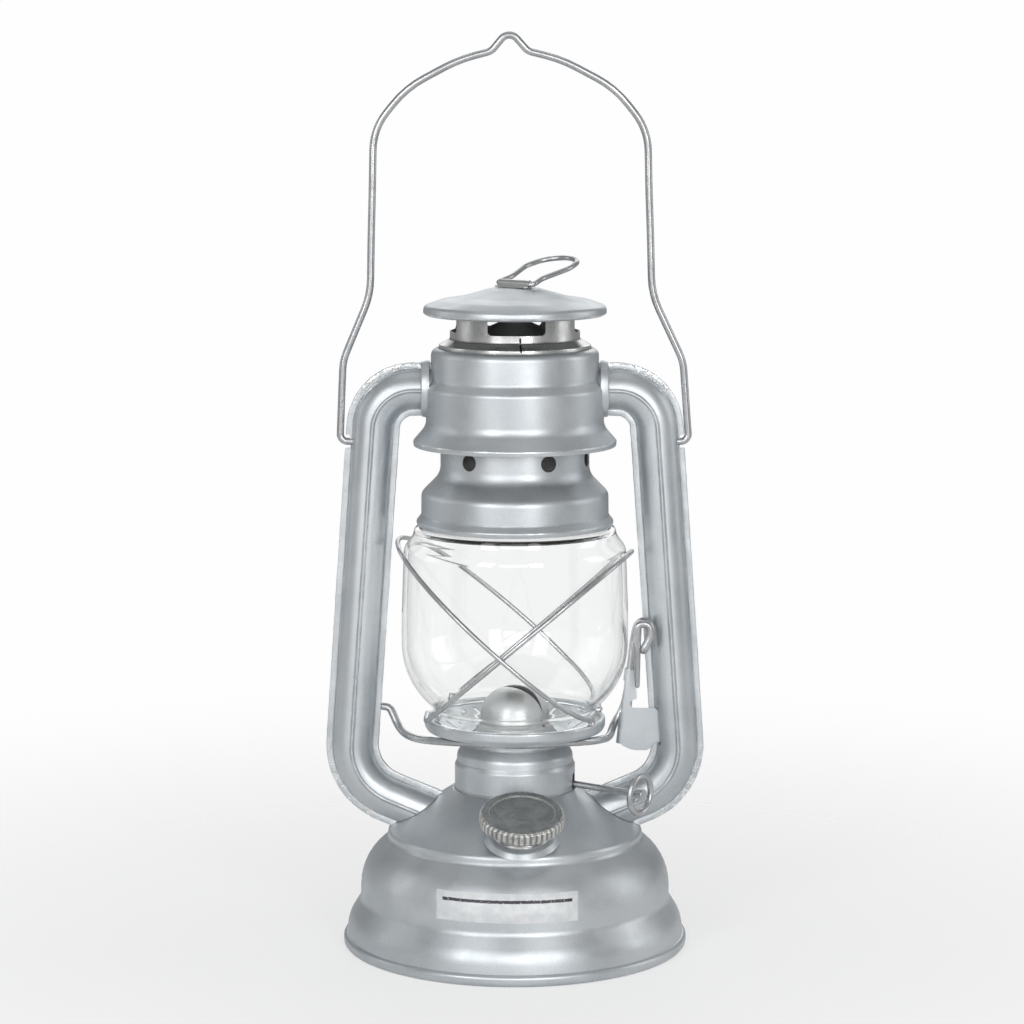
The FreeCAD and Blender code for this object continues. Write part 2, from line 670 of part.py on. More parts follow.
def lift_wire():
    """The wire that carries the plate: left guide hook, front run, right leg and finger loop."""
    back_y, front_y = -6.3, -9.6
    points = [
        (-50.0, 2.3, 86.9), (-45.6, 2.3, 86.6), (-41.6, -1.6, 78.4), (-36.0, -8.0, 76.2),
        (-25.0, -17.5, 76.0), (-10.0, -21.6, 76.0), (10.0, -21.6, 76.0), (24.0, -16.5, 76.0),
        (31.6, -7.0, 76.2), (35.6, 2.4, 79.8), (latch_axis_at(86.0) - 0.4, 4.4, 86.0),
        (latch_axis_at(95.4), 0, 95.4), (latch_axis_at(112.0), 0, 112.0), (44.0, -1.7, 117.6),
        (46.4, -4.4, 120.2), (49.0, back_y, 118.6), (49.3, back_y, 114.6), (46.3, back_y, 109.6),
        (46.3, front_y, 109.6), (49.2, front_y, 115.4), (48.4, front_y, 119.4),
        (44.2, front_y, 119.6), (44.0, front_y + 0.3, 112.0), (44.3, -5.4, 95.4)]
    bends = [None] * len(points)
    bends[11] = 5.0
    bends[17] = 1.55
    bends[18] = 1.55
    return wire_rod([vec(*point) for point in points], LIFT_WIRE_RADIUS, bends)


def guard_wire(high_azimuth, mid_height, slope, spread, front_end, back_end):
    """A wire hoop round the globe, high on one side and ending on the plate's rim."""
    def radius_at(lean):
        if lean <= 108:
            return (42.2 + spread * math.sin(math.radians(lean)) ** 2) / math.cos(math.radians(11))
        start = 42.2 + spread
        return start - (start - 32.0) * ((lean - 108) / 50) ** 1.3

    def point_at(lean, sign):
        radius = radius_at(lean)
        height = mid_height + slope * radius * math.cos(math.radians(lean))
        return around(high_azimuth + sign * lean, height, radius)

    def half_hoop(sign, end_lean):
        points = [point_at(lean, sign) for lean in (11, 33, 55, 77, 97, 114, 129, 143)]
        end_azimuth = high_azimuth + sign * end_lean
        return points + [around(end_azimuth, RIM_TOP_Z + 2.6, 32.0), around(end_azimuth, RIM_TOP_Z, 32.0)]

    points = half_hoop(1, front_end)[::-1] + half_hoop(-1, back_end)
    return wire_rod(points, GUARD_WIRE_RADIUS)


# ---------------------------------------------------------------- latch
def latch_plate():
    """A sheet plate rolled round the lift wire's leg, with a tab for the tube's slot."""
    outer = LATCH_BORE_RADIUS + LATCH_SHEET
    foot = vec(LATCH_AXIS_FOOT[0], 0, LATCH_AXIS_FOOT[1])
    head = vec(latch_axis_at(101.5), 0, 101.5)
    blade = outline_face([
        (latch_axis_at(73.4), 73.4, 0), (42.6, 71.5, 8), (49.0, 71.5, 3), (50.6, 74.6, 0), (53.3, 74.8, 0.3),
        (53.3, 86.5, 0.3), (51.4, 86.5, 0), (51.0, 87.1, 0.3), (41.9, 87.2, 1.4), (41.9, 90.0, 1.4),
        (44.3, 90.5, 0.4), (44.2, 92.9, 0.4), (latch_axis_at(101.0) + 1.2, 100.6, 0),
        (latch_axis_at(101.0), 101.0, 0)])
    blade = blade.extrude(vec(0, LATCH_SHEET, 0))
    blade.translate(vec(0, -outer, 0))
    roll = rod(foot, head, outer)
    bore = rod(foot + (foot - head) * 0.1, head + (head - foot) * 0.1, LATCH_BORE_RADIUS)
    lean = FreeCAD.Rotation(AXIS_Z, head - foot)
    opened_from = FreeCAD.Placement(vec(latch_axis_at(84.8), 0, 84.8), lean)
    windows = []
    for turn in (15, 40):
        window = block((-9, 0, 0), (9, 9, 12.2))
        window.rotate(CENTRE, AXIS_Z, turn)
        window.Placement = opened_from.multiply(window.Placement)
        windows.append(window)
    return roll.fuse(blade).cut([bore] + windows).removeSplitter()


# ---------------------------------------------------------------- build
def main():
    os.makedirs("parts", exist_ok=True)
    save("tank_shell", tank_shell())
    save("tank_bottom", tank_bottom())
    save("fill_line_label", fill_line_label())
    save("air_duct", air_duct())
    save("filler_neck", filler_neck())
    save("cap_gasket", cap_gasket())
    save("filler_cap", filler_cap())
    save("burner_collar", burner_collar())
    save("burner_chamber", burner_chamber())
    save("burner_base", burner_base())
    save("wick_tube", wick_tube())
    save("spindle_bush", spindle_bush())
    save("burner_cone", burner_cone())
    save("wick_spindle", wick_spindle())
    save("wick_sprockets", wick_sprockets())
    save("wick", wick())

    front = left_tube_front()
    back = mirrored(front, vec(0, 1, 0))
    save("left_tube_front", front)
    save("left_tube_back", back)
    save("right_tube_front", mirrored(front, vec(1, 0, 0)).cut(latch_slot()))
    save("right_tube_back", mirrored(back, vec(1, 0, 0)))

    save("hood", hood())
    save("hood_socket_left", hood_socket(-1))
    save("hood_socket_right", hood_socket(1))
    save("hood_guide_ring", hood_guide_ring())
    save("chimney_spring", chimney_spring())
    save("spring_seat", spring_seat())
    save("chimney_bell", chimney_bell())
    save("crown", crown())
    save("heat_baffle", heat_baffle())
    save("chimney_cap", chimney_cap())
    save("ring_strap", ring_strap())
    save("pull_ring", pull_ring())
    save("bail_handle", bail_handle())

    save("globe_plate", globe_plate())
    save("globe", globe())
    save("lift_wire", lift_wire())
    save("guard_wire_left", guard_wire(174.3, 112.0, 0.857, 1.8, 154, 158))
    save("guard_wire_right", guard_wire(-11.7, 109.0, 0.857, 0.0, 154, 158))
    save("latch_plate", latch_plate())


main()
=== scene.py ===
"""Looks of the tubular storm lantern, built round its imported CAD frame.

Every outline is in millimetres, as (radius, height, bend radius) corners about +Z, and goes
to metres when its mesh is made. +Z is up, +X the lantern's right and -Y its front.
"""

import math

import bmesh
import bpy
from mathutils import Matrix, Vector, noise


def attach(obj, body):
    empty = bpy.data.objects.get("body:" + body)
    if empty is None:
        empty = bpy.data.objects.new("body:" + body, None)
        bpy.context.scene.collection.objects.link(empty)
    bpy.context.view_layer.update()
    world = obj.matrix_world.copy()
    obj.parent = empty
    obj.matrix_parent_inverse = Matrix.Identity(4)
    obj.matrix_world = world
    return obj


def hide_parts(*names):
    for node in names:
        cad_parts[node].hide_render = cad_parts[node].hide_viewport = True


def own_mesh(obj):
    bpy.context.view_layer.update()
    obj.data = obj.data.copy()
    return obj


noise.seed_set(7)  # the vector noise otherwise starts from the clock

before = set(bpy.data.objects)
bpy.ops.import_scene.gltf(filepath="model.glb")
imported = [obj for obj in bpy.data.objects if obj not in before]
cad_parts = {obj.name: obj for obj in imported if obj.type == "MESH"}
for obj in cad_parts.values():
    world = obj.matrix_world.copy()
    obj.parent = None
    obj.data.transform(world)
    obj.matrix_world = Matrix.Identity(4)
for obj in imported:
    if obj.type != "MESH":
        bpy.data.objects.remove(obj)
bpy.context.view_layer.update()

MM = 0.001
AXIS_Z = Vector((0, 0, 1))

TANK_SHEET = 0.6
HOOD_SHEET = 0.6
THIN_SHEET = 0.5
CROWN_SHEET = 0.4
GLASS_WALL = 1.8

# ---------------- outlines, as the CAD's with softer bends
TANK = [
    (61.75, 1.0, 0), (60.8, 10.2, 13), (56.4, 17.3, 4.0), (56.1, 31.0, 20),
    (46.4, 39.5, 2.4), (46.3, 42.4, 2.2), (22.6, 57.7, 1.0), (18.3, 57.7, 0)]
TANK_BOTTOM = [
    (0, 3.0, 0), (60.0, 3.0, 0.5), (60.0, 0, 0.5), (62.7, 0, 1.7), (62.7, 4.3, 1.6),
    (60.95, 4.3, 0.3), (60.95, 0.9, 0), (60.7, 0.9, 0), (60.7, 3.6, 0), (0, 3.6, 0)]
CHAMBER = [
    (22.3, 58.1, 0.1), (21.9, 58.5, 0.2), (21.9, 66.4, 1.3), (21.2, 67.8, 1.3), (21.0, 70.6, 3.2),
    (18.6, 74.4, 2.4), (18.6, 77.3, 0.6), (13.6, 77.3, 0)]
DOME = [
    (15.2, 77.55, 0), (13.4, 81.3, 1.6), (12.5, 82.3, 0.5), (12.7, 83.1, 0),
    (12.7, 94.7, 11.5), (0, 94.7, 0)]
PLATE = [
    (32.0, 79.5, 0), (32.8, 80.9, 1.3), (32.8, 84.0, 0.9), (31.2, 84.0, 0.6), (31.1, 82.7, 0.6),
    (27.8, 82.7, 1.8), (19.8, 78.2, 2.4), (15.7, 78.2, 0)]
GLOBE = [
    (29.3, 82.7, 0), (29.3, 87.2, 2.6), (41.1, 98.9, 30), (41.0, 122.0, 90), (40.1, 146.2, 5),
    (36.9, 150.4, 4), (36.2, 153.4, 1.6), (32.4, 154.6, 1.6), (32.2, 158.6, 0)]
BELL = [
    (35.2, 154.3, 0), (35.6, 155.9, 1.0), (33.8, 158.2, 1.8), (33.7, 166.2, 3.6),
    (26.8, 173.2, 7.0), (26.8, 218.9, 0)]
HOOD = [
    (36.4, 183.2, 0), (36.6, 184.9, 1.0), (31.9, 190.4, 6.0), (32.3, 203.8, 2.4),
    (30.2, 207.1, 2.6), (30.1, 218.4, 2.8), (27.5, 218.4, 0)]
CROWN = [(27.2, 217.4, 0), (27.2, 219.6, 0.8), (23.3, 221.6, 1.0), (23.3, 235.6, 0)]
CHIMNEY_CAP = [
    (31.5, 230.0, 0), (32.9, 230.8, 0.9), (32.7, 233.4, 2.0), (26.6, 235.5, 9),
    (19.4, 236.6, 4), (9.0, 239.6, 8), (0, 240.0, 0)]

SPINDLE_AZIMUTH = -36.0
SPINDLE_Z = 59.7
SPINDLE_OFFSET = 8.5
SPINDLE_REACH = 49.3
NECK_TILT = 18.5
NECK_FOOT = (2.3, -37.5)
CAP_FLUTES = 44
STRAP_AZIMUTH = -40.0
RING_AXIS_Z = 241.2
RING_REST_TILT = 14.5
TUBE_RADIUS = 7.15
TUBE_SHEET = 0.5
FLANGE_REACH = 9.5
FLANGE_ROOT = 7.3
TUBE_TOP_Z = 203.4
TUBE_CORNERS = [(-28.0, TUBE_TOP_Z, 0), (-50.0, TUBE_TOP_Z, 14.5), (-60.17, 59.84, 21.0), (-28.0, 46.2, 0)]
BAIL_PIVOT_Z = 184.5
LATCH_AXIS_FOOT = (38.9, 73.8)
LATCH_AXIS_HEAD = (43.9, 119.3)


# ---------------- paths and outlines
def around(azimuth, z=0.0, radius=1.0):
    """The point at an azimuth in degrees, a radius and a height."""
    angle = math.radians(azimuth)
    return Vector((radius * math.cos(angle), radius * math.sin(angle), z))


def bent_path(corners, bends, turn_step=7.0, run_step=None):
    """Points along runs and tangent arcs through corners; a bend of None is the largest that fits."""
    path = [corners[0].copy()]
    for index in range(1, len(corners)):
        corner = corners[index]
        if index == len(corners) - 1:
            arc = [corner.copy()]
        else:
            before, after = corners[index - 1], corners[index + 1]
            inward = (corner - before).normalized()
            outward = (after - corner).normalized()
            turn = inward.angle(outward)
            bend = bends[index]
            if bend is None:
                cut = 0.48 * min((corner - before).length, (after - corner).length)
                bend = cut / max(math.tan(turn / 2), 1e-9)
            cut = bend * math.tan(turn / 2)
            if turn < 1e-4 or cut < 1e-6:
                arc = [corner.copy()]
            else:
                to_centre = (outward - inward).normalized()
                centre = corner + to_centre * (bend / math.cos(turn / 2))
                axis = inward.cross(outward).normalized()
                spoke = corner - inward * cut - centre
                count = max(2, math.ceil(math.degrees(turn) / turn_step))
                arc = [centre + Matrix.Rotation(turn * i / count, 3, axis) @ spoke for i in range(count + 1)]
        run = arc[0] - path[-1]
        if run_step and run.length > run_step:
            count = math.ceil(run.length / run_step)
            start = path[-1].copy()
            path += [start + run * (i / count) for i in range(1, count)]
        path += [p for p in arc if (p - path[-1]).length > 1e-4]
    return path


def outline_path(points, **steps):
    """(radius, height) points along a rounded outline."""
    path = bent_path([Vector((r, 0, z)) for r, z, _ in points], [b for _, _, b in points], **steps)
    return [(p.x, p.z) for p in path]


def inner_skin(points, thickness):
    """The outline's offset to its left, towards the axis on a climbing outline."""
    flat = [Vector((r, z)) for r, z, _ in points]
    lefts = []
    for start, end in zip(flat, flat[1:]):
        run = (end - start).normalized()
        lefts.append(Vector((-run.y, run.x)))
    skin = []
    for index, (r, z, bend) in enumerate(points):
        before, after = lefts[max(index - 1, 0)], lefts[min(index, len(lefts) - 1)]
        shift = (before + after) * (thickness / (1 + before.dot(after)))
        if 0 < index < len(points) - 1:
            turns_left = before.x * after.y - before.y * after.x > 0
            bend = max(bend - thickness, 0) if turns_left else bend + thickness
        skin.append((r + shift.x, z + shift.y, bend))
    return skin


def sheet_section(points, thickness, **steps):
    """A closed section of sheet metal whose cut edges are eased."""
    inside = inner_skin(points, thickness)
    closed_at_axis = points[-1][0] == 0
    if closed_at_axis:
        inside[-1] = (0, inside[-1][1], 0)
    eased = 0.4 * thickness
    ring = [(r, z, b) for r, z, b in points] + inside[::-1]
    ring[0] = (*ring[0][:2], eased)
    ring[-1] = (*ring[-1][:2], eased)
    if not closed_at_axis:
        last = len(points) - 1
        ring[last] = (*ring[last][:2], eased)
        ring[last + 1] = (*ring[last + 1][:2], eased)
    start = ((ring[0][0] + ring[-1][0]) / 2, (ring[0][1] + ring[-1][1]) / 2, 0)
    return outline_path([start] + ring + [start], **steps)[:-1]


# ---------------- meshes
def placed(name, data):
    """A new object in the scene."""
    obj = bpy.data.objects.new(name, data)
    bpy.context.scene.collection.objects.link(obj)
    return obj


def mark(obj, name, values):
    """Write one number for each point, for the finishes to read."""
    attribute = obj.data.attributes.new(name, "FLOAT", "POINT")
    attribute.data.foreach_set("value", values)
    return obj


def clamped(value):
    return max(0.0, min(1.0, value))


def mesh_object(name, vertices, faces):
    """A mesh object from millimetre vertices, with its faces turned outwards."""
    mesh = bpy.data.meshes.new(name)
    mesh.from_pydata([Vector(v) * MM for v in vertices], [], faces)
    work = bmesh.new()
    work.from_mesh(mesh)
    bmesh.ops.remove_doubles(work, verts=work.verts, dist=1e-7)
    bmesh.ops.recalc_face_normals(work, faces=work.faces)
    if work.calc_volume(signed=True) < 0:
        bmesh.ops.reverse_faces(work, faces=work.faces)
    work.to_mesh(mesh)
    work.free()
    return placed(name, mesh)


def lathe(name, section, segments=192, closed=True, radius_at=None):
    """A section of (radius, height) points turned about +Z; radius_at may vary the radius round the turn."""
    vertices, rings = [], []
    for index, (r, z) in enumerate(section):
        if r < 1e-5:
            rings.append([len(vertices)] * segments)
            vertices.append((0, 0, z))
            continue
        rings.append(list(range(len(vertices), len(vertices) + segments)))
        for s in range(segments):
            angle = 2 * math.pi * s / segments
            radius = radius_at(index, r, z, angle) if radius_at else r
            vertices.append((radius * math.cos(angle), radius * math.sin(angle), z))
    faces = []
    pairs = list(zip(rings, rings[1:]))
    if closed and section[0][0] > 1e-5:
        pairs.append((rings[-1], rings[0]))
    for low, high in pairs:
        for s in range(segments):
            after = (s + 1) % segments
            corners = [low[s], low[after], high[after], high[s]]
            face = [c for i, c in enumerate(corners) if c not in corners[:i]]
            if len(face) > 2:
                faces.append(face)
    return mesh_object(name, vertices, faces)


def spun_sheet(name, outline, thickness, segments=192):
    return lathe(name, sheet_section(outline, thickness), segments)


def frames_along(path, first_side):
    """Tangent, side and third direction at each point, carried along without twist."""
    tangents = []
    for index in range(len(path)):
        before, after = path[max(index - 1, 0)], path[min(index + 1, len(path) - 1)]
        tangents.append((after - before).normalized())
    side = (first_side - tangents[0] * first_side.dot(tangents[0])).normalized()
    frames = []
    for index, tangent in enumerate(tangents):
        if index:
            turn = tangents[index - 1].rotation_difference(tangent)
            side = (turn @ side)
            side = (side - tangent * side.dot(tangent)).normalized()
        frames.append((tangent, side, tangent.cross(side)))
    return frames


def sweep(name, path, section_at, first_side):
    """Closed (side, third) sections, one for each point of a path, closed by two end faces."""
    vertices, faces = [], []
    for index, (point, (_, side, third)) in enumerate(zip(path, frames_along(path, first_side))):
        section = section_at(index)
        count = len(section)
        vertices += [point + side * a + third * b for a, b in section]
        if index:
            base = (index - 1) * count
            for s in range(count):
                after = (s + 1) % count
                faces.append([base + s, base + after, base + count + after, base + count + s])
    faces.append(list(range(count))[::-1])
    faces.append(list(range(len(vertices) - count, len(vertices))))
    return mesh_object(name, vertices, faces)


def wire(name, corners, radius, bends=None, sides=20, waver=0.0, taper=0):
    """Round wire bent through corners, with eased ends, a slight waver and the last points tapered."""
    path = bent_path(corners, bends or [None] * len(corners), turn_step=6.0, run_step=4.0)
    path = [path[0]] + [p + noise.noise_vector(p * 0.05) * waver for p in path[1:-1]] + [path[-1]]
    path.insert(1, path[0] + (path[1] - path[0]).normalized() * 0.35 * radius)
    path.insert(-1, path[-1] + (path[-2] - path[-1]).normalized() * 0.35 * radius)
    last = len(path) - 1

    def section_at(index):
        size = radius * (0.66 if index in (0, last) else 1.0)
        size *= 1.0 - 0.45 * max(0.0, 1.0 - (last - index) / taper) if taper else 1.0
        return disc_profile(size, sides=sides)

    return sweep(name, path, section_at, (path[1] - path[0]).orthogonal())


def prism(name, profile, low, high, place):
    """A closed (across, up) profile carried from low to high along the third axis, then placed."""
    count = len(profile)
    vertices = [place @ Vector((a, end, b)) for end in (low, high) for a, b in profile]
    faces = [[s, (s + 1) % count, count + (s + 1) % count, count + s] for s in range(count)]
    faces += [list(range(count))[::-1], list(range(count, 2 * count))]
    return mesh_object(name, vertices, faces)


def box_profile(width, low, high, bend=0.0):
    """A rectangle about the middle, with rounded corners."""
    start, half = (0, low, 0), width / 2
    ring = [(half, low, bend), (half, high, bend), (-half, high, bend), (-half, low, bend)]
    return outline_path([start] + ring + [start])[:-1]


def disc_profile(radius, across=0.0, up=0.0, sides=32):
    angles = [2 * math.pi * (s + 0.37) / sides for s in range(sides)]
    return [(across + radius * math.cos(angle), up + radius * math.sin(angle)) for angle in angles]


def join(name, pieces):
    """One object from several."""
    work = bmesh.new()
    for piece in pieces:
        piece.data.transform(piece.matrix_world)
        work.from_mesh(piece.data)
        bpy.data.objects.remove(piece)
    mesh = bpy.data.meshes.new(name)
    work.to_mesh(mesh)
    work.free()
    return placed(name, mesh)


def cut(obj, cutters):
    """Take cutters out of obj and remove them."""
    for cutter in cutters:
        modifier = obj.modifiers.new("cut", "BOOLEAN")
        modifier.operation = "DIFFERENCE"
        modifier.solver = "EXACT"
        modifier.object = cutter
        bpy.context.view_layer.update()
        shown = obj.evaluated_get(bpy.context.evaluated_depsgraph_get())
        mesh = bpy.data.meshes.new_from_object(shown)
        obj.modifiers.clear()
        obj.data = mesh
        bpy.data.objects.remove(cutter)
    return obj


def mirrored(name, obj, axis):
    """A copy of obj reflected in the plane square to an axis."""
    copy = placed(name, obj.data.copy())
    flip = [1, 1, 1]
    flip[axis] = -1
    copy.data.transform(Matrix.Diagonal((*flip, 1)))
    copy.data.flip_normals()
    return copy


def shade(obj, sharp_angle=32.0):
    """Smooth shading broken at sharp edges, and how much each point stands out or lies in."""
    mesh = obj.data
    work = bmesh.new()
    work.from_mesh(mesh)
    ridge = [0.0] * len(work.verts)
    crease = [0.0] * len(work.verts)
    for edge in work.edges:
        if len(edge.link_faces) != 2:
            continue
        angle = edge.calc_face_angle_signed(0.0)
        gap = sum((face.calc_center_median() - (edge.verts[0].co + edge.verts[1].co) / 2).length
                  for face in edge.link_faces)
        bend = angle / max(gap, 0.1 * MM) * MM
        for vertex in edge.verts:
            ridge[vertex.index] = max(ridge[vertex.index], bend)
            crease[vertex.index] = max(crease[vertex.index], -bend)
    work.free()
    for name, values, full in (("ridge", ridge, 1.0), ("crease", crease, 0.7)):
        mark(obj, name, [min(value / full, 1.0) for value in values])
    mesh.shade_smooth()
    mesh.set_sharp_from_angle(angle=math.radians(sharp_angle))
    return obj


def tube_path(**steps):
    """The middle line of the left tube, from hood to tank."""
    corners = [Vector((x, 0, z)) for x, z, _ in TUBE_CORNERS]
    return bent_path(corners, [bend for _, _, bend in TUBE_CORNERS], **steps)


def chip_flanges(obj):
    """Marks where the paint is chipped: the outer flanges at the tube's bends and foot."""
    path = tube_path(run_step=3.0)
    values = []
    for vertex in obj.data.vertices:
        place = Vector((-abs(vertex.co.x), 0, vertex.co.z)) / MM
        reach = min((place - p).length for p in path)
        bend = max(clamped((78.0 - place.z) / 14.0), clamped((place.z - 196.0) / 8.0))
        edge = clamped((reach - FLANGE_ROOT) / 0.4)
        outside = 1.0 if place.x < -52.5 or place.z > TUBE_TOP_Z else 0.35
        values.append(edge * (0.12 + 0.88 * bend * outside))
    return mark(obj, "chipped", values)


def shade_and_soot_inside(obj):
    """Marks the faces that look towards the axis: painted shade inside, and smoke stain where smoke has
    dulled the metal.
    """
    values = []
    for vertex in obj.data.vertices:
        outward = Vector((vertex.co.x, vertex.co.y, 0)).normalized()
        values.append(clamped(-2.0 * vertex.normal.dot(outward)))
    return mark(obj, "inside_shade_and_soot", values)


def show(obj, body, slot_name, finish, *nodes, sharp_angle=32.0):
    """Give a piece its finish and its body, and hide the CAD nodes that it stands for; its slot name is not
    used.
    """
    shade(obj, sharp_angle)
    obj.data.materials.clear()
    obj.data.materials.append(finish)
    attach(obj, body)
    if nodes:
        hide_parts(*nodes)
    return obj


# ---------------- finishes
class Finish:
    """A node material under construction: one Principled shader fed by places on the object."""

    def __init__(self, name, **sockets):
        self.material = bpy.data.materials.new(name)
        self.material.use_nodes = True
        self.nodes = self.material.node_tree.nodes
        self.links = self.material.node_tree.links
        self.shader = self.nodes["Principled BSDF"]
        self.place = self.nodes.new("ShaderNodeTexCoord").outputs["Object"]
        for socket, value in sockets.items():
            self.shader.inputs[socket.replace("_", " ")].default_value = value

    def put(self, socket, value):
        """A link or a plain value into a node's input."""
        if isinstance(value, bpy.types.NodeSocket):
            self.links.new(value, socket)
        else:
            socket.default_value = value

    def noise(self, scale, detail=4.0, roughness=0.6, distortion=0.0, stretch=None):
        node = self.nodes.new("ShaderNodeTexNoise")
        place = self.place
        if stretch:
            mapping = self.nodes.new("ShaderNodeMapping")
            mapping.inputs["Scale"].default_value = stretch
            self.links.new(place, mapping.inputs["Vector"])
            place = mapping.outputs["Vector"]
        self.links.new(place, node.inputs["Vector"])
        node.inputs["Scale"].default_value = scale
        node.inputs["Detail"].default_value = detail
        node.inputs["Roughness"].default_value = roughness
        node.inputs["Distortion"].default_value = distortion
        return node.outputs["Fac"]

    def cells(self, scale):
        node = self.nodes.new("ShaderNodeTexVoronoi")
        self.links.new(self.place, node.inputs["Vector"])
        node.inputs["Scale"].default_value = scale
        return node.outputs["Distance"]

    def attribute(self, name):
        node = self.nodes.new("ShaderNodeAttribute")
        node.attribute_name = name
        return node.outputs["Fac"]

    def axis(self, letter):
        node = self.nodes.new("ShaderNodeSeparateXYZ")
        self.links.new(self.place, node.inputs["Vector"])
        return node.outputs[letter]

    def remap(self, value, low, high, out_low=0.0, out_high=1.0):
        node = self.nodes.new("ShaderNodeMapRange")
        node.interpolation_type = "SMOOTHSTEP"
        self.put(node.inputs["Value"], value)
        numbers = {"From Min": low, "From Max": high, "To Min": out_low, "To Max": out_high}
        for name, number in numbers.items():
            node.inputs[name].default_value = number
        return node.outputs["Result"]

    def math(self, operation, first, second):
        node = self.nodes.new("ShaderNodeMath")
        node.operation = operation
        self.put(node.inputs[0], first)
        self.put(node.inputs[1], second)
        return node.outputs["Value"]

    def times(self, first, second):
        return self.math("MULTIPLY", first, second)

    def mix(self, share, first, second):
        """A colour between two, as (r, g, b) or sockets."""
        node = self.nodes.new("ShaderNodeMix")
        node.data_type = "RGBA"
        self.put(node.inputs["Factor"], share)
        for name, colour in (("A", first), ("B", second)):
            socket = next(s for s in node.inputs if s.name == name and s.type == "RGBA")
            self.put(socket, (*colour, 1.0) if isinstance(colour, tuple) else colour)
        return next(s for s in node.outputs if s.type == "RGBA")

    def blend(self, share, first, second):
        """A number between two."""
        node = self.nodes.new("ShaderNodeMix")
        node.data_type = "FLOAT"
        self.put(node.inputs["Factor"], share)
        self.put(node.inputs["A"], first)
        self.put(node.inputs["B"], second)
        return node.outputs["Result"]

    def bump(self, height, depth_mm, strength=1.0, under=None):
        node = self.nodes.new("ShaderNodeBump")
        node.inputs["Strength"].default_value = strength
        node.inputs["Distance"].default_value = depth_mm * MM
        self.links.new(height, node.inputs["Height"])
        if under:
            self.links.new(under, node.inputs["Normal"])
        return node.outputs["Normal"]

    def see_through(self, share, clear_colour=(1.0, 1.0, 1.0)):
        """Let a share of the rays go straight through the surface."""
        through = self.nodes.new("ShaderNodeBsdfTransparent")
        through.inputs["Color"].default_value = (*clear_colour, 1)
        both = self.nodes.new("ShaderNodeMixShader")
        self.links.new(share, both.inputs["Fac"])
        self.links.new(self.shader.outputs["BSDF"], both.inputs[1])
        self.links.new(through.outputs["BSDF"], both.inputs[2])
        self.links.new(both.outputs["Shader"], self.nodes["Material Output"].inputs["Surface"])
        return self.material

    def ray(self, kind):
        return self.nodes.new("ShaderNodeLightPath").outputs[kind]

    def done(self, colour=None, roughness=None, normal=None):
        for name, value in (("Base Color", colour), ("Roughness", roughness), ("Normal", normal)):
            if value is not None:
                self.links.new(value, self.shader.inputs[name])
        return self.material


def silver_paint(name="silver_paint", dark=(0.56, 0.595, 0.62), light=(0.66, 0.69, 0.71)):
    """Sprayed aluminium paint: fine flake, faint orange peel, rubbed edges and chips; painted shade in the
    creases, which are also rougher, and on faces towards the axis, with smoke stain there.
    """
    f = Finish(name, Metallic=0.86)
    drift = f.noise(26, detail=3)
    flake = f.noise(2300, detail=2, roughness=0.7)
    colour = f.mix(f.remap(drift, 0.35, 0.65), dark, light)
    colour = f.mix(f.remap(flake, 0.5, 0.78, 0.0, 0.4), colour, (0.84, 0.86, 0.88))
    colour = f.mix(f.remap(f.noise(1500, detail=2), 0.56, 0.8, 0.0, 0.35), colour, (0.34, 0.365, 0.385))
    # painted shade: the colour darkens in the creases, blotched by noise, and the paint is rougher there
    creases = f.remap(f.attribute("crease"), 0.25, 1.0, 0.0, 0.5)
    shaded_dull_crease = f.times(creases, f.remap(f.noise(120), 0.3, 0.62))
    colour = f.mix(shaded_dull_crease, colour, (0.26, 0.27, 0.275))
    rubbed = f.times(f.remap(f.attribute("ridge"), 0.75, 1.0, 0.0, 0.8),
                    f.remap(f.noise(170, detail=6), 0.5, 0.64))
    flecks = f.remap(f.noise(360, detail=5, roughness=0.7), 0.47, 0.53)
    chips = f.times(f.attribute("chipped"), flecks)
    bare = f.math("MAXIMUM", rubbed, chips)
    colour = f.mix(bare, colour, (0.86, 0.865, 0.86))
    rough = f.remap(f.noise(90, detail=5), 0.3, 0.7, 0.37, 0.47)
    rough = f.blend(shaded_dull_crease, rough, 0.6)
    rough = f.blend(bare, rough, 0.24)
    # painted shade with smoke stain on the faces towards the axis: darker colour and rougher paint
    inward_shade_and_soot = f.attribute("inside_shade_and_soot")
    colour = f.mix(inward_shade_and_soot, colour, (0.20, 0.20, 0.195))
    rough = f.blend(inward_shade_and_soot, rough, 0.7)
    peel = f.bump(f.noise(420, detail=2), 0.03, 0.5)
    normal = f.bump(f.noise(1900, detail=2), 0.02, 0.5, peel)
    normal = f.bump(f.times(chips, -1.0), 0.12, 0.8, normal)
    return f.done(colour, rough, normal)


def bright_tin(name, base, rough_low, rough_high, streak=(1, 1, 9), grain=0.02):
    """Bare rolled or spun tin: fine drawn streaks, tarnish and brighter rubbed edges."""
    f = Finish(name, Metallic=1.0)
    tarnish = f.remap(f.noise(60, detail=6, roughness=0.7), 0.42, 0.72)
    streaks = f.noise(700, detail=3, stretch=streak)
    darker = tuple(c * 0.62 for c in base)
    colour = f.mix(f.remap(streaks, 0.3, 0.7, 0.0, 0.5), base, tuple(c * 0.84 for c in base))
    colour = f.mix(f.times(tarnish, 0.35), colour, darker)
    # painted shade: the colour darkens in the creases
    shaded_dull_crease = f.remap(f.attribute("crease"), 0.2, 1.0, 0.0, 0.6)
    colour = f.mix(shaded_dull_crease, colour, tuple(c * 0.35 for c in base))
    rubbed = f.times(f.remap(f.attribute("ridge"), 0.3, 1.0), f.remap(f.noise(300), 0.4, 0.6))
    colour = f.mix(rubbed, colour, (0.86, 0.85, 0.83))
    rough = f.remap(f.noise(240, detail=5), 0.3, 0.7, rough_low, rough_high)
    rough = f.blend(rubbed, rough, rough_low * 0.8)
    peel = f.bump(f.noise(160, detail=2), 0.06, 0.4)
    normal = f.bump(streaks, grain, 0.5, peel)
    return f.done(colour, rough, normal)


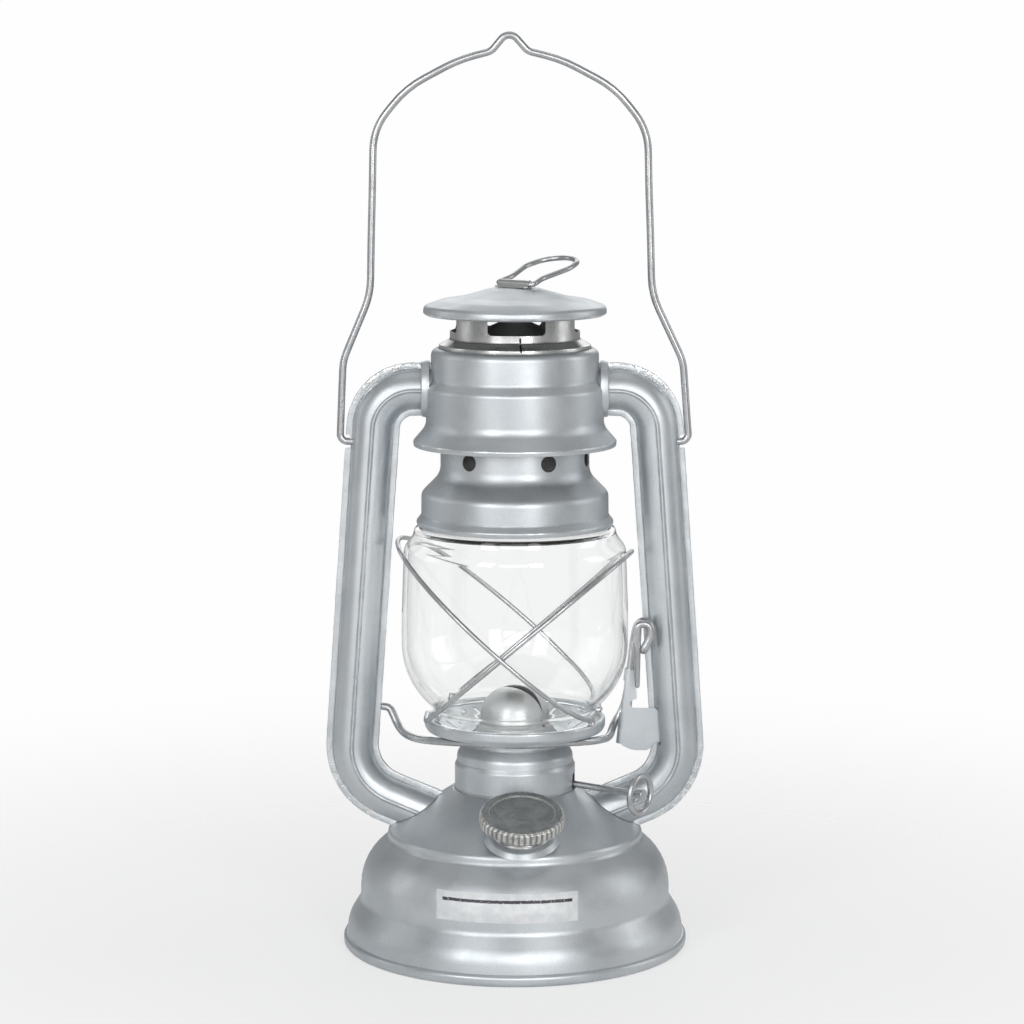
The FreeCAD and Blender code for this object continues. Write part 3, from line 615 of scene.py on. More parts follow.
def galvanised_wire():
    """Zinc-dipped drawn wire: soft grey bloom, fine specks and brighter rubbed stretches."""
    f = Finish("galvanised_wire", Metallic=0.94)
    bloom = f.remap(f.noise(120, detail=4), 0.38, 0.66)
    colour = f.mix(bloom, (0.60, 0.61, 0.62), (0.48, 0.49, 0.50))
    bright = f.remap(f.noise(60, detail=4), 0.58, 0.72)
    colour = f.mix(bright, colour, (0.74, 0.745, 0.74))
    colour = f.mix(f.remap(f.noise(1700, detail=2), 0.64, 0.82, 0.0, 0.25), colour, (0.42, 0.42, 0.425))
    rough = f.blend(bloom, 0.27, 0.38)
    rough = f.blend(bright, rough, 0.22)
    normal = f.bump(f.noise(900, detail=2), 0.012, 0.5)
    return f.done(colour, rough, normal)


def cast_zinc():
    """Raw die-cast zinc: cloudy grey skin, small pits and warm bright worn edges."""
    f = Finish("die_cast_zinc", Metallic=0.9)
    cloud = f.noise(150, detail=7, roughness=0.72, distortion=0.6)
    colour = f.mix(f.remap(cloud, 0.32, 0.68), (0.31, 0.33, 0.33), (0.52, 0.53, 0.52))
    pits = f.remap(f.cells(900), 0.08, 0.22, 1.0, 0.0)
    pits = f.times(pits, f.remap(f.noise(260), 0.5, 0.62))
    colour = f.mix(pits, colour, (0.10, 0.10, 0.10))
    rubbed = f.times(f.remap(f.attribute("ridge"), 0.25, 0.9), f.remap(f.noise(330), 0.34, 0.56))
    colour = f.mix(rubbed, colour, (0.80, 0.78, 0.74))
    # painted shade: the colour darkens in the creases
    shaded_dull_crease = f.remap(f.attribute("crease"), 0.3, 1.0, 0.0, 0.45)
    colour = f.mix(shaded_dull_crease, colour, (0.20, 0.20, 0.195))
    rough = f.remap(cloud, 0.3, 0.7, 0.52, 0.36)
    rough = f.blend(rubbed, rough, 0.28)
    low = f.bump(cloud, 0.10, 0.5)
    normal = f.bump(f.times(pits, -1.0), 0.05, 0.7, low)
    return f.done(colour, rough, normal)


def solder():
    """Dull grey solder with bright smears."""
    f = Finish("solder", Metallic=1.0)
    smear = f.remap(f.noise(500, detail=4), 0.4, 0.62)
    colour = f.mix(smear, (0.50, 0.50, 0.50), (0.86, 0.87, 0.88))
    rough = f.blend(smear, 0.42, 0.2)
    normal = f.bump(f.noise(700, detail=3), 0.12, 0.8)
    return f.done(colour, rough, normal)


def brass():
    """Dull brass of the wick works."""
    f = Finish("brass", Metallic=1.0)
    stain = f.remap(f.noise(240, detail=6), 0.35, 0.68)
    colour = f.mix(stain, (0.62, 0.47, 0.22), (0.30, 0.22, 0.12))
    rough = f.blend(stain, 0.32, 0.55)
    normal = f.bump(f.noise(1200, detail=2), 0.02, 0.6)
    return f.done(colour, rough, normal)


def clear_glass():
    """Pressed glass: clear with slow waves and a trace of haze; lamps reach what is inside."""
    f = Finish("clear_glass", Transmission_Weight=1.0, IOR=1.47)
    f.shader.inputs["Base Color"].default_value = (0.965, 0.972, 0.968, 1)
    haze = f.remap(f.noise(130, detail=6, roughness=0.7), 0.45, 0.8, 0.0, 0.055)
    waves = f.bump(f.noise(22, detail=1, stretch=(1, 1, 0.5)), 0.3, 0.06)
    f.done(None, haze, waves)
    return f.see_through(f.ray("Is Shadow Ray"), (0.93, 0.94, 0.94))


def label_foil():
    """Pale foil label with one dark level line and slightly scuffed borders."""
    f = Finish("label_foil", Metallic=0.15)
    paper = f.mix(f.remap(f.noise(300, detail=5), 0.35, 0.7), (0.66, 0.68, 0.695), (0.76, 0.77, 0.775))
    x, z = f.axis("X"), f.axis("Z")
    ragged = f.times(f.math("SUBTRACT", f.noise(900, detail=3), 0.5), 0.0004)
    up = f.math("ADD", z, ragged)
    band = f.times(f.remap(up, 0.02815, 0.02835), f.remap(up, 0.02920, 0.02940, 1.0, 0.0))
    span = f.times(f.remap(x, -0.0258, -0.0255), f.remap(x, 0.0200, 0.0203, 1.0, 0.0))
    ink = f.times(band, span)
    worn = f.remap(f.noise(1300, detail=3), 0.30, 0.42)
    ink = f.times(ink, worn)
    colour = f.mix(ink, paper, (0.045, 0.04, 0.05))
    rough = f.remap(f.noise(500), 0.3, 0.7, 0.38, 0.5)
    normal = f.bump(f.noise(260, detail=3), 0.05, 0.5)
    return f.done(colour, rough, normal)


def cotton():
    """Woven flat wick: warp and weft ribs, scorched at the top."""
    f = Finish("cotton_wick", Roughness=0.9)
    threads = f.nodes.new("ShaderNodeTexWave")
    f.links.new(f.place, threads.inputs["Vector"])
    threads.bands_direction = "Z"
    threads.inputs["Scale"].default_value = 420
    threads.inputs["Distortion"].default_value = 1.5
    colour = f.mix(threads.outputs["Fac"], (0.62, 0.58, 0.50), (0.83, 0.80, 0.73))
    scorch = f.remap(f.axis("Z"), 0.083, 0.087)
    colour = f.mix(scorch, colour, (0.05, 0.045, 0.04))
    normal = f.bump(threads.outputs["Fac"], 0.3, 0.8)
    return f.done(colour, None, normal)


def rubber():
    """Black sealing rubber with a dusty bloom."""
    f = Finish("seal_rubber")
    bloom = f.remap(f.noise(300, detail=6), 0.45, 0.75)
    colour = f.mix(bloom, (0.02, 0.02, 0.02), (0.09, 0.09, 0.09))
    rough = f.blend(bloom, 0.5, 0.75)
    return f.done(colour, rough, f.bump(f.noise(1500), 0.03, 0.6))


PAINT = silver_paint()
# painted shade: a darker copy of the silver paint for the flame dome inside the globe
SHADED_BURNER_PAINT = silver_paint("burner_paint_shaded", dark=(0.38, 0.39, 0.395), light=(0.50, 0.51, 0.51))
CROWN_TIN = bright_tin("tinplate", (0.72, 0.72, 0.715), 0.26, 0.38)
INNER_TIN = bright_tin("inner_tin", (0.46, 0.46, 0.45), 0.34, 0.48)
SPRING = bright_tin("spring_steel", (0.40, 0.40, 0.41), 0.28, 0.42)
NECK_METAL = bright_tin("plated_neck", (0.55, 0.555, 0.55), 0.25, 0.4, streak=(1, 1, 1))
WIRE = galvanised_wire()
ZINC = cast_zinc()
SOLDER = solder()
BRASS = brass()
GLASS = clear_glass()
LABEL = label_foil()
COTTON = cotton()
RUBBER = rubber()


# ---------------- places
def facing(azimuth):
    """Takes (across, outward, up) to a place round the axis."""
    return Matrix((around(azimuth + 90), around(azimuth), AXIS_Z)).transposed()


def upright(azimuth):
    """Takes (along, up, across) to a place round the axis, for cutters that run up."""
    return Matrix((around(azimuth), AXIS_Z, around(azimuth + 90))).transposed()


SIDEWAYS = Matrix(((0, 1, 0), (1, 0, 0), (0, 0, 1)))


def moved(obj, direction, foot):
    """A shape modelled about +Z, carried to a foot and turned to a direction."""
    turn = AXIS_Z.rotation_difference(direction).to_matrix().to_4x4()
    obj.data.transform(Matrix.Translation(foot * MM) @ turn)
    return obj


def along_spindle(reach, offset=SPINDLE_OFFSET, z=SPINDLE_Z):
    """A point at a reach along the spindle's azimuth and an offset square to it."""
    return around(SPINDLE_AZIMUTH, z, reach) + around(SPINDLE_AZIMUTH + 90, 0, offset)


def neck_axis():
    """The filler neck's foot on the cone and its direction."""
    foot_radius = math.hypot(*NECK_FOOT)
    (wide, low, _), (narrow, high, _) = TANK[5], TANK[6]
    foot_z = low + (wide - foot_radius) * (high - low) / (wide - narrow)
    tilt = math.radians(NECK_TILT)
    outward = Vector((*NECK_FOOT, 0)) / foot_radius
    return Vector((*NECK_FOOT, foot_z)), outward * math.sin(tilt) + AXIS_Z * math.cos(tilt)


def solid_of(name, outline):
    """The filled solid inside an outline, as a cutter."""
    ring = [(0, outline[0][1], 0)] + outline + [(0, outline[-1][1], 0)]
    return lathe(name, outline_path(ring), closed=False)


def blob(name, centre, size, seed, sides=14):
    """A small uneven drop of solder."""
    section = [(math.sin(math.pi * i / 9), -math.cos(math.pi * i / 9)) for i in range(10)]
    drop = lathe(name, [(max(r, 0), z) for r, z in section], sides, closed=False)
    for vertex in drop.data.vertices:
        way = vertex.co / MM
        swell = 1 + 0.35 * noise.noise(way * 1.3 + Vector((seed, 0, 0)))
        vertex.co = (Vector(a * b * swell for a, b in zip(way, size)) + centre) * MM
    return drop


# ---------------- tank
def build_tank():
    foot, axis = neck_axis()
    tank = spun_sheet("tank_skin", TANK, TANK_SHEET, 256)
    hole = moved(lathe("neck_hole", [(0, -8), (10.2, -8), (10.2, 8), (0, 8)], 48, closed=False), axis, foot)
    show(cut(tank, [hole]), "root", "silver_paint", PAINT, "tank_shell")
    bottom = lathe("base_pan", outline_path(TANK_BOTTOM), 256, closed=False)
    show(bottom, "root", "silver_paint", PAINT, "tank_bottom")


def build_label():
    """A foil patch on the bulge, a little uneven where it was pressed on."""
    bulge = [(r, z) for r, z in outline_path(TANK, run_step=0.8) if z < 40]
    low, high, left, right = 21.5, 31.5, -27.6, 22.1
    columns, rows = 72, 16

    def skin_radius(z):
        for (r0, z0), (r1, z1) in zip(bulge, bulge[1:]):
            if z0 <= z <= z1:
                return r0 + (r1 - r0) * (z - z0) / (z1 - z0)
        return bulge[-1][0]

    def point(column, row, proud):
        z = low + (high - low) * row / rows
        radius = skin_radius(z) + proud
        x = left + (right - left) * column / columns
        return Vector((x, -math.sqrt(radius * radius - x * x), z))

    vertices, faces = [], []
    for column in range(columns + 1):
        for row in range(rows + 1):
            wrinkle = 0.05 * noise.noise(Vector((column * 0.13, row * 0.31, 4.0)))
            vertices.append(point(column, row, 0.2 + wrinkle))
    for column in range(columns + 1):
        for row in range(rows + 1):
            vertices.append(point(column, row, -0.05))
    under = (columns + 1) * (rows + 1)

    def at(column, row, layer=0):
        return layer * under + column * (rows + 1) + row

    for column in range(columns):
        for row in range(rows):
            quad = [(column, row), (column + 1, row), (column + 1, row + 1), (column, row + 1)]
            faces.append([at(*corner) for corner in quad])
            faces.append([at(*corner, 1) for corner in reversed(quad)])
    rim = [(c, 0) for c in range(columns)] + [(columns, r) for r in range(rows)]
    rim += [(c, rows) for c in range(columns, 0, -1)] + [(0, r) for r in range(rows, 0, -1)]
    for here, after in zip(rim, rim[1:] + rim[:1]):
        faces.append([at(*here), at(*after), at(*after, 1), at(*here, 1)])
    label = mesh_object("level_label", vertices, faces)
    show(label, "root", "label_foil", LABEL, "fill_line_label")


def build_filler():
    foot, axis = neck_axis()
    pitch = 2.0

    def thread(_, r, z, angle):
        if r < 9.5 or not 1.9 < z < 7.9:
            return r
        turn = (z / pitch - angle / (2 * math.pi)) * 2 * math.pi
        return 9.9 + 0.4 * (0.5 + 0.5 * math.cos(turn)) ** 1.4

    section = [(10.3, -6.0), (10.3, 1.4), (9.9, 1.9)] + [(9.9, 2.0 + 0.16 * i) for i in range(37)]
    section += [(9.7, 8.0), (9.0, 8.0), (9.0, -6.0)]
    neck = moved(lathe("threaded_neck", section, 160, radius_at=thread), axis, foot)
    show(neck, "root", "plated_neck", NECK_METAL, "filler_neck")
    fillet = outline_path([(13.4, -1.3, 0), (11.9, 0.35, 2.0), (10.2, 1.1, 0), (10.2, -1.4, 0)])

    def uneven(_, r, z, angle):
        return r + 0.25 * math.sin(3 * angle + 1) * (r > 10.5)

    bead = moved(lathe("neck_solder", fillet, 120, radius_at=uneven), axis, foot)
    show(bead, "root", "silver_paint", PAINT)

    rim = [
        (0, 8.78, 0), (10.45, 8.78, 0), (10.45, 5.5, 0), (14.6, 5.5, 0.3), (15.1, 6.1, 0.4), (15.1, 9.2, 0.4),
        (14.3, 9.9, 0.4), (11.7, 9.9, 0.3), (11.1, 9.35, 0.3), (6.0, 9.2, 3), (0, 9.3, 0)]

    def fluted(_, r, z, angle):
        if r < 13.6 or z < 5.2:
            return r
        share = min((r - 13.6) / 0.9, 1.0)
        wave = 0.5 - 0.5 * math.cos(CAP_FLUTES * angle)
        return r - 0.45 * share * wave ** 1.6

    section = outline_path(rim, run_step=0.5)
    cap = lathe("fluted_cap", section, CAP_FLUTES * 10, closed=False, radius_at=fluted)
    show(moved(cap, axis, foot), "cap", "die_cast_zinc", ZINC, "filler_cap", sharp_angle=50)


# ---------------- burner
def build_burner():
    chamber = spun_sheet("burner_drum", CHAMBER, THIN_SHEET)
    half, head_z = 1.6, 62.2
    turns = [math.pi * i / 12 for i in range(13)]
    head = [(SPINDLE_OFFSET + half * math.cos(turn), head_z + half * math.sin(turn)) for turn in turns]
    slot = [(SPINDLE_OFFSET - half, 55), (SPINDLE_OFFSET + half, 55)] + head
    chamber = cut(chamber, [prism("slot", slot, 14, 30, facing(SPINDLE_AZIMUTH))])
    show(chamber, "root", "silver_paint", PAINT, "burner_chamber")

    dome = spun_sheet("flame_dome", DOME, THIN_SHEET, 144)
    reach, belly = 12.4, 2.4
    edge = [reach * (i / 12 - 1) for i in range(25)]
    lens = [(a, -belly * (1 - (a / reach) ** 2)) for a in edge]
    lens += [(a, belly * (1 - (a / reach) ** 2)) for a in edge[-2:0:-1]]
    slit = prism("slit", lens, 83.6, 103, upright(SPINDLE_AZIMUTH))
    vent = prism("vent", disc_profile(0.7, 0, 82.0), 9, 18, facing(SPINDLE_AZIMUTH))
    show(cut(dome, [slit, vent]), "root", "silver_paint", SHADED_BURNER_PAINT, "burner_cone")


def build_spindle():
    shaft = wire("shaft", [along_spindle(-6.2), along_spindle(SPINDLE_REACH + 1.2)], 1.25)
    direction = around(SPINDLE_AZIMUTH)
    centre = along_spindle(SPINDLE_REACH)
    ring = moved(lathe("ring", disc_profile(1.12, 6.75, 0, 20), 72), direction, centre)
    hub_section = outline_path([(0, -1.4, 0), (2.0, -1.4, 0.4), (2.0, 1.6, 0.4), (0, 1.6, 0)])
    hub = moved(lathe("hub", hub_section, 32, closed=False), direction, centre)
    spoke_way = (around(SPINDLE_AZIMUTH + 90) * -0.94 + AXIS_Z * -0.34).normalized()
    spoke = wire("spoke", [centre, centre + spoke_way * 6.6], 1.0)
    outer = blob("drop", centre + spoke_way * 5.9, (1.5, 1.5, 1.3), 3.0)
    inner = blob("drop", centre + spoke_way * 2.0, (1.4, 1.4, 1.2), 8.0)
    spindle = join("wick_key", [shaft, ring, hub, spoke, outer, inner])
    show(spindle, "spindle", "galvanised_wire", WIRE, "wick_spindle")


# ---------------- side tubes
def half_tube_section(turn):
    """One pressed half: arched body, crest bead and two flanges; turn is -1 for the front, 1 for the back."""
    hem = [(9.5, 0.02), (9.5, 0.62), (9.32, 0.86), (9.0, 0.95), (7.75, 0.92), (7.42, 0.86), (7.2, 0.72)]
    flank = [(7.08, 0.72), (6.97, 0.9), (6.93, 1.2), (6.95, 1.6)]
    arch = []
    for step in range(23):
        angle = math.radians(14.5 + step * (83.6 - 14.5) / 22)
        arch.append((TUBE_RADIUS * math.cos(angle), TUBE_RADIUS * math.sin(angle)))
    bead = [(0.55, 7.24), (0.36, 7.46), (0.18, 7.61), (0.0, 7.65)]
    outer = hem + flank + arch + bead
    outer += [(-u, v) for u, v in outer[-2::-1]]
    bore = TUBE_RADIUS - TUBE_SHEET
    inner = [(-bore * math.cos(math.pi * i / 24), bore * math.sin(math.pi * i / 24)) for i in range(25)]
    return [(u, turn * v) for u, v in outer + inner]


def half_tube(name, turn, seed):
    """A left-hand half whose flanges waver as hand-crimped ones do."""
    path = tube_path(turn_step=4.0, run_step=1.6)
    section = half_tube_section(turn)

    def section_at(index):
        here = path[index] * 0.11 + Vector((seed, 0, 0))
        lean = 0.30 * noise.noise(here)
        frayed = 0.26 * noise.noise(here * 3.1)
        points = []
        for u, v in section:
            share = max(0.0, (abs(u) - FLANGE_ROOT) / (FLANGE_REACH - FLANGE_ROOT))
            points.append((u + math.copysign(frayed * share * share, u), v + lean * share))
        return points

    tube = sweep(name, path, section_at, AXIS_Z)
    pivot = prism("pivot", disc_profile(1.4, 0, BAIL_PIVOT_Z), -66, -52, SIDEWAYS)
    relief = prism("relief", disc_profile(2.6, 0, BAIL_PIVOT_Z), -66, -59.4, SIDEWAYS)
    gap = [(r + 0.3, z, bend) for r, z, bend in TANK]
    return cut(tube, [solid_of("tank", gap), solid_of("hood", HOOD), relief, pivot])


def build_tubes():
    for turn, side_name in ((-1, "front"), (1, "back")):
        left = half_tube("tube_left_" + side_name, turn, 1.0)
        show(chip_flanges(left), "root", "silver_paint", PAINT, "left_tube_" + side_name)
        plain = half_tube("plain", turn, 27.0)
        right = mirrored("tube_right_" + side_name, plain, 0)
        bpy.data.objects.remove(plain)
        if turn < 0:
            slot = [(a - 2.35, b) for a, b in box_profile(2.3, 73.7, 87.6, 0.4)]
            right = cut(right, [prism("slot", slot, 50.2, 55.6, SIDEWAYS)])
        show(chip_flanges(right), "root", "silver_paint", PAINT, "right_tube_" + side_name)


def build_tube_solder():
    """Small bright drops where the outer flanges are tacked together."""
    path = tube_path(turn_step=4.0, run_step=1.0)
    frames = frames_along(path, AXIS_Z)
    for side, name in ((-1, "left"), (1, "right")):
        drops = []
        for index, share in enumerate((0.13, 0.385, 0.66, 0.845, 0.93)):
            place = round((share + 0.006 * side) * (len(path) - 1))
            tangent, outward, _ = frames[place]
            centre = path[place] + outward * (FLANGE_REACH - 0.75)
            drop = blob("drop", Vector((0, 0, 0)), (1.9, 0.75, 0.5), 5.0 * index + side)
            turn = Matrix((tangent, outward, tangent.cross(outward))).transposed().to_4x4()
            drop.data.transform(Matrix.Translation(centre * MM) @ turn)
            if side > 0:
                drop.data.transform(Matrix.Diagonal((-1, 1, 1, 1)))
                drop.data.flip_normals()
            drops.append(drop)
        show(join("tube_tacks_" + name, drops), "root", "tinplate", SOLDER)


# ---------------- hood and chimney
def build_hood():
    show(shade_and_soot_inside(spun_sheet("hood_skin", HOOD, HOOD_SHEET, 224)), "root", "silver_paint", PAINT, "hood")
    for side, name in ((-1, "left"), (1, "right")):
        section = [
            (30.6, 10.3, 8.5), (31.8, 10.3, 8.5), (32.4, 10.1, 8.3), (32.9, 10.0, 8.2),
            (33.3, 9.95, 8.1), (33.5, 9.8, 7.95), (33.3, 9.62, 7.8), (30.6, 9.6, 7.75)]
        sides = 72
        vertices = []
        for x, half_height, half_depth in section:
            for s in range(sides):
                angle = 2 * math.pi * s / sides
                up = TUBE_TOP_Z + half_height * math.sin(angle)
                vertices.append((side * x, half_depth * math.cos(angle), up))
        faces = []
        for index in range(len(section)):
            low, high = index * sides, (index + 1) % len(section) * sides
            for s in range(sides):
                after = (s + 1) % sides
                faces.append([low + s, low + after, high + after, high + s])
        socket = mesh_object("tube_socket_" + name, vertices, faces)
        show(socket, "root", "silver_paint", PAINT, "hood_socket_" + name)


def build_chimney():
    bell = spun_sheet("bell_skin", BELL, THIN_SHEET, 224)
    vent_radius, vent_z = 3.0, 179.3
    vent = disc_profile(vent_radius, 0, vent_z, 40)
    holes = [prism("hole", vent, 20, 32, facing(azimuth))
             for azimuth in (-127.5, -63.5, -16.0, 52.5, 116.5, 164.0)]
    show(shade_and_soot_inside(cut(bell, [join("holes", holes)])), "chimney", "silver_paint", PAINT, "chimney_bell")

    crown = spun_sheet("windowed_crown", CROWN, CROWN_SHEET, 224)
    window = box_profile(20.4, 224.4, 230.9, 1.5)
    windows = [prism("window", window, 14, 44, facing(azimuth)) for azimuth in (-88.5, 1.5, 91.5, 181.5)]
    seam = prism("seam", box_profile(0.7, 216.0, 223.6), 20, 30, facing(-85.4))
    show(cut(crown, windows + [seam]), "chimney", "tinplate", CROWN_TIN, "crown")

    cap = spun_sheet("rain_cap", CHIMNEY_CAP, THIN_SHEET, 224)
    show(shade_and_soot_inside(cap), "chimney", "silver_paint", PAINT, "chimney_cap")


def build_spring():
    """The open coil between seat and guide ring, built at rest; on the lantern it shortens as the chimney is
    pulled up, which this mesh does not do.
    """
    low, high, travel = 187.4, 213.5, 10.0
    mean, radius, turns, steps = 28.2, 0.45, 4.5, 30
    count = int(turns * steps)
    start = low + radius + 0.1
    rise = (high - radius - 0.1 - start) / count
    points = [around(360 * i / steps, start + rise * i, mean) for i in range(count + 1)]
    profile = disc_profile(radius, sides=12)
    spring = sweep("hood_spring", points, lambda _: profile, AXIS_Z)
    show(spring, "root", "spring_steel", SPRING, "chimney_spring")
    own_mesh(spring)


def build_pull_ring():
    high = [(0.05, 0), (8.4, 0), (7.0, 7.0), (9.8, 19.6), (7.8, 27.8)]
    low = [(-0.05, 0), (-8.6, 0), (-7.4, 7.0), (-10.9, 19.8), (-8.6, 27.8)]
    flat = high + [(-0.5, 31.6)] + low[::-1]
    along = around(STRAP_AZIMUTH)
    tilt = math.radians(RING_REST_TILT)
    outward = around(STRAP_AZIMUTH + 90) * math.cos(tilt) + AXIS_Z * math.sin(tilt)
    points = [AXIS_Z * RING_AXIS_Z + along * a + outward * b for a, b in flat]
    ring = wire("lifting_ring", points, 0.95, [0, 1.6, 9, 10, 8, 9, 8, 10, 9, 1.6, 0])
    show(ring, "ring", "galvanised_wire", WIRE, "pull_ring")


# ---------------- bail
def build_bail():
    left = [
        (-55.0, BAIL_PIVOT_Z, 0), (-62.9, BAIL_PIVOT_Z, 2.6), (-61.5, 213.5, 18), (-51.7, 237.5, 30),
        (-50.2, 296.0, 22), (-38.6, 310.6, 36), (-20.0, 320.4, 50), (-8.4, 323.4, 5)]
    right = [
        (4.6, 323.4, 5), (16.9, 320.4, 50), (35.4, 310.6, 36), (47.1, 296.0, 22),
        (48.9, 237.5, 30), (60.2, 213.5, 18), (62.5, BAIL_PIVOT_Z, 2.6), (55.0, BAIL_PIVOT_Z, 0)]
    corners = left + [(-2.1, 331.0, 3.6)] + right
    points = [Vector((x, 0, z)) for x, z, _ in corners]
    bail = wire("bail", points, 1.3, [bend for _, _, bend in corners], sides=24, waver=0.12)
    show(bail, "bail", "galvanised_wire", WIRE, "bail_handle")


# ---------------- cradle
def build_plate():
    plate = spun_sheet("pierced_plate", PLATE, THIN_SHEET)
    profile, count = box_profile(1.6, 75, 86), 24
    slots = [prism("slot", profile, 21.4, 25.6, facing(360 / count * (i + 0.5))) for i in range(count)]
    show(cut(plate, [join("slots", slots)]), "cradle", "silver_paint", PAINT, "globe_plate")


def build_globe():
    globe = lathe("glass_globe", sheet_section(GLOBE, GLASS_WALL, turn_step=2.0), 224)
    show(globe, "cradle", "clear_glass", GLASS, "globe", sharp_angle=60)


def latch_axis_at(z):
    """How far to the right the latch's leaning axis is at a height."""
    (low_x, low_z), (high_x, high_z) = LATCH_AXIS_FOOT, LATCH_AXIS_HEAD
    return low_x + (high_x - low_x) * (z - low_z) / (high_z - low_z)


def build_lift_wire():
    back_y, front_y = -6.3, -9.6
    points = [
        (-49.0, 2.8, 86.9), (-45.6, 2.6, 86.6), (-41.6, -1.6, 78.4), (-36.4, -8.6, 77.2),
        (-28.5, -15.0, 77.6), (-18.5, -21.4, 78.5), (-6.5, -27.2, 78.9), (6.5, -27.2, 78.9),
        (18.5, -21.4, 78.5), (28.8, -14.0, 77.5), (34.4, -4.6, 76.8), (35.8, 2.6, 79.8),
        (latch_axis_at(86.0) - 0.4, 4.4, 86.0), (latch_axis_at(95.4), 0, 95.4),
        (latch_axis_at(112.0), 0, 112.0),
        (44.0, -1.7, 117.6), (46.4, -4.4, 120.2), (49.0, back_y, 118.6), (49.3, back_y, 114.6),
        (46.3, back_y, 109.6), (46.3, front_y, 109.6), (49.2, front_y, 115.4), (48.4, front_y, 119.4),
        (44.2, front_y, 119.6), (44.0, front_y + 0.3, 112.0), (44.3, -5.4, 95.4)]
    bends = [None] * len(points)
    bends[13:15] = 5.0, 2.5
    bends[19:21] = 1.55, 1.55
    lift = wire("cradle_wire", [Vector(p) for p in points], 1.4, bends, sides=24, taper=7)
    show(lift, "cradle", "galvanised_wire", WIRE, "lift_wire")


def guard_points(high_azimuth, mid_height, spread, slope=0.857, radius=42.2, rim=32.0):
    """Corners of a hoop round the globe, high on one side and ending on the plate's rim."""
    def radius_at(lean):
        if lean <= 108:
            return (radius + spread * math.sin(math.radians(lean)) ** 2) / math.cos(math.radians(11))
        start = radius + spread
        return start - (start - rim) * ((lean - 108) / 50) ** 1.3

    def half_hoop(sign, end_lean):
        points = []
        for lean in (11, 33, 55, 77, 97, 114, 129, 143):
            out = radius_at(lean)
            height = mid_height + slope * out * math.cos(math.radians(lean))
            points.append(around(high_azimuth + sign * lean, height, out))
        end_azimuth = high_azimuth + sign * end_lean
        return points + [around(end_azimuth, 86.6, rim), around(end_azimuth, 84.0, rim)]

    return half_hoop(1, 154)[::-1] + half_hoop(-1, 158)


def build_guards():
    for name, azimuth, height, spread in (("left", 174.3, 112.0, 1.8), ("right", -11.7, 109.0, 0.0)):
        points = guard_points(azimuth, height, spread)
        guard = wire("guard_" + name, points, 0.85)
        show(guard, "cradle", "galvanised_wire", WIRE, "guard_wire_" + name)
        drops = [blob("drop", end + AXIS_Z * 0.5, (1.5, 1.5, 1.1), 11.0 + i)
                 for i, end in enumerate((points[0], points[-1]))]
        show(join("guard_solder_" + name, drops), "cradle", "tinplate", SOLDER)


# ---------------- CAD pieces whose shape stays
def finish_cad_nodes():
    kept = {
        "air_duct": INNER_TIN, "burner_collar": INNER_TIN, "burner_base": INNER_TIN, "wick_tube": BRASS,
        "spindle_bush": BRASS, "wick_sprockets": SPRING, "wick": COTTON, "cap_gasket": RUBBER,
        "hood_guide_ring": INNER_TIN, "spring_seat": INNER_TIN,
        "heat_baffle": INNER_TIN, "ring_strap": CROWN_TIN, "latch_plate": PAINT}
    for node, finish in kept.items():
        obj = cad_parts[node]
        obj.data.materials.clear()
        obj.data.materials.append(finish)


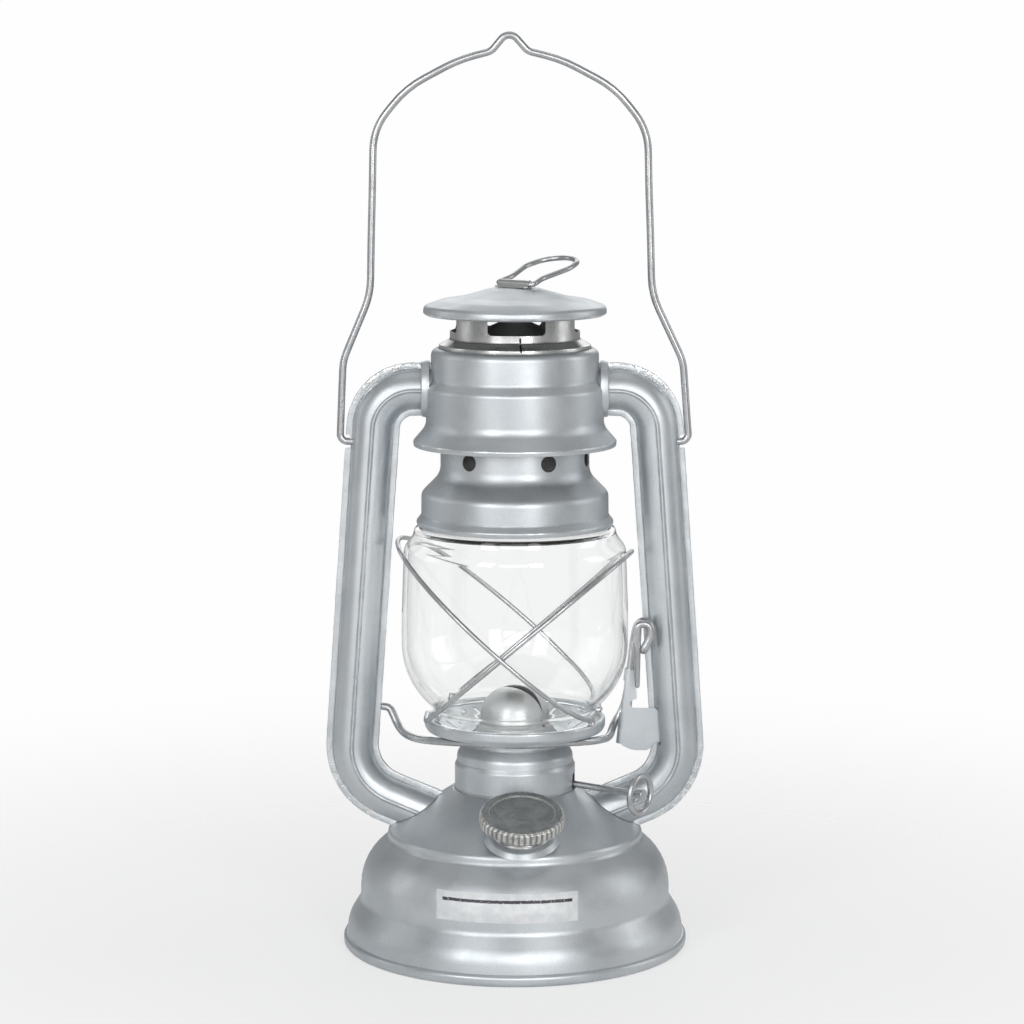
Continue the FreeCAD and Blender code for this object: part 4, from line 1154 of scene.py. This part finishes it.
# ---------------- studio
def build_studio():
    world = bpy.data.worlds.new("studio")
    bpy.context.scene.world = world
    world.use_nodes = True
    nodes, links = world.node_tree.nodes, world.node_tree.links
    seen = nodes["Background"]
    seen.inputs["Color"].default_value = (0.99, 0.99, 0.99, 1)
    seen.inputs["Strength"].default_value = 1.0
    lit = nodes.new("ShaderNodeBackground")
    lit.inputs["Color"].default_value = (0.97, 0.985, 1.0, 1)
    lit.inputs["Strength"].default_value = 0.27
    path = nodes.new("ShaderNodeLightPath")
    both = nodes.new("ShaderNodeMixShader")
    clear = nodes.new("ShaderNodeMath")
    clear.operation = "MAXIMUM"
    links.new(path.outputs["Is Camera Ray"], clear.inputs[0])
    links.new(path.outputs["Is Transmission Ray"], clear.inputs[1])
    links.new(clear.outputs["Value"], both.inputs["Fac"])
    links.new(lit.outputs["Background"], both.inputs[1])
    links.new(seen.outputs["Background"], both.inputs[2])
    links.new(both.outputs["Shader"], nodes["World Output"].inputs["Surface"])

    lamps = [
        ("key_left", (-0.75, -1.25, 0.62), (0, 0, 0.12), 0.4, 0.9, 5.6),
        ("key_right", (0.55, -1.35, 0.55), (0, 0, 0.12), 0.35, 0.9, 5.2),
        ("front", (-0.05, -1.75, 0.55), (0, 0, 0.06), 0.9, 0.7, 4.4),
        ("side_left", (-1.3, 0.15, 0.5), (0, 0, 0.12), 0.5, 0.9, 1.1),
        ("side_right", (1.3, 0.1, 0.5), (0, 0, 0.12), 0.5, 0.9, 1.9),
        ("top", (0.0, 0.1, 1.35), (0, 0, 0.1), 1.0, 0.9, 1.5),
        ("back", (0.1, 1.3, 0.8), (0, 0, 0.15), 1.2, 0.9, 4.0)]
    for name, place, target, width, height, power in lamps:
        lamp = bpy.data.lights.new(name, "AREA")
        lamp.shape = "RECTANGLE"
        lamp.size = width
        lamp.size_y = height
        lamp.energy = power
        obj = placed(name, lamp)
        obj.visible_camera = False
        obj.location = place
        obj.rotation_euler = (Vector(target) - Vector(place)).to_track_quat("-Z", "Y").to_euler()

    paper = Finish("studio_floor", Roughness=0.8)
    tone = paper.mix(paper.noise(6, detail=2), (0.92, 0.92, 0.92), (0.95, 0.95, 0.95))
    paper.done(tone)
    distance = paper.nodes.new("ShaderNodeVectorMath")
    distance.operation = "LENGTH"
    paper.links.new(paper.place, distance.inputs[0])
    fade = paper.remap(distance.outputs["Value"], 0.06, 0.5, 0.6, 1.0)
    straight = paper.math("MAXIMUM", paper.ray("Is Camera Ray"), paper.ray("Is Transmission Ray"))
    material = paper.see_through(paper.times(fade, straight))
    half = 700
    corners = [(-half, -half, 0), (half, -half, 0), (half, half, 0), (-half, half, 0)]
    floor = mesh_object("studio_floor", corners, [[0, 1, 2, 3]])
    floor.data.materials.append(material)


def build_camera():
    camera = bpy.data.cameras.new("camera")
    camera.sensor_width = 36.0
    camera.lens = 114.5
    camera.shift_x = -0.0015
    obj = placed("camera", camera)
    obj.location = (-0.0005, -1.163, 0.3264)
    obj.rotation_euler = (math.radians(90 - 8.2), 0, 0)
    bpy.context.scene.camera = obj
    bpy.context.scene.view_settings.view_transform = "Standard"


# ---------------- build
build_tank()
build_label()
build_filler()
build_burner()
build_spindle()
build_tubes()
build_tube_solder()
build_hood()
build_chimney()
build_spring()
build_pull_ring()
build_bail()
build_plate()
build_globe()
build_lift_wire()
build_guards()
finish_cad_nodes()
build_studio()
build_camera()
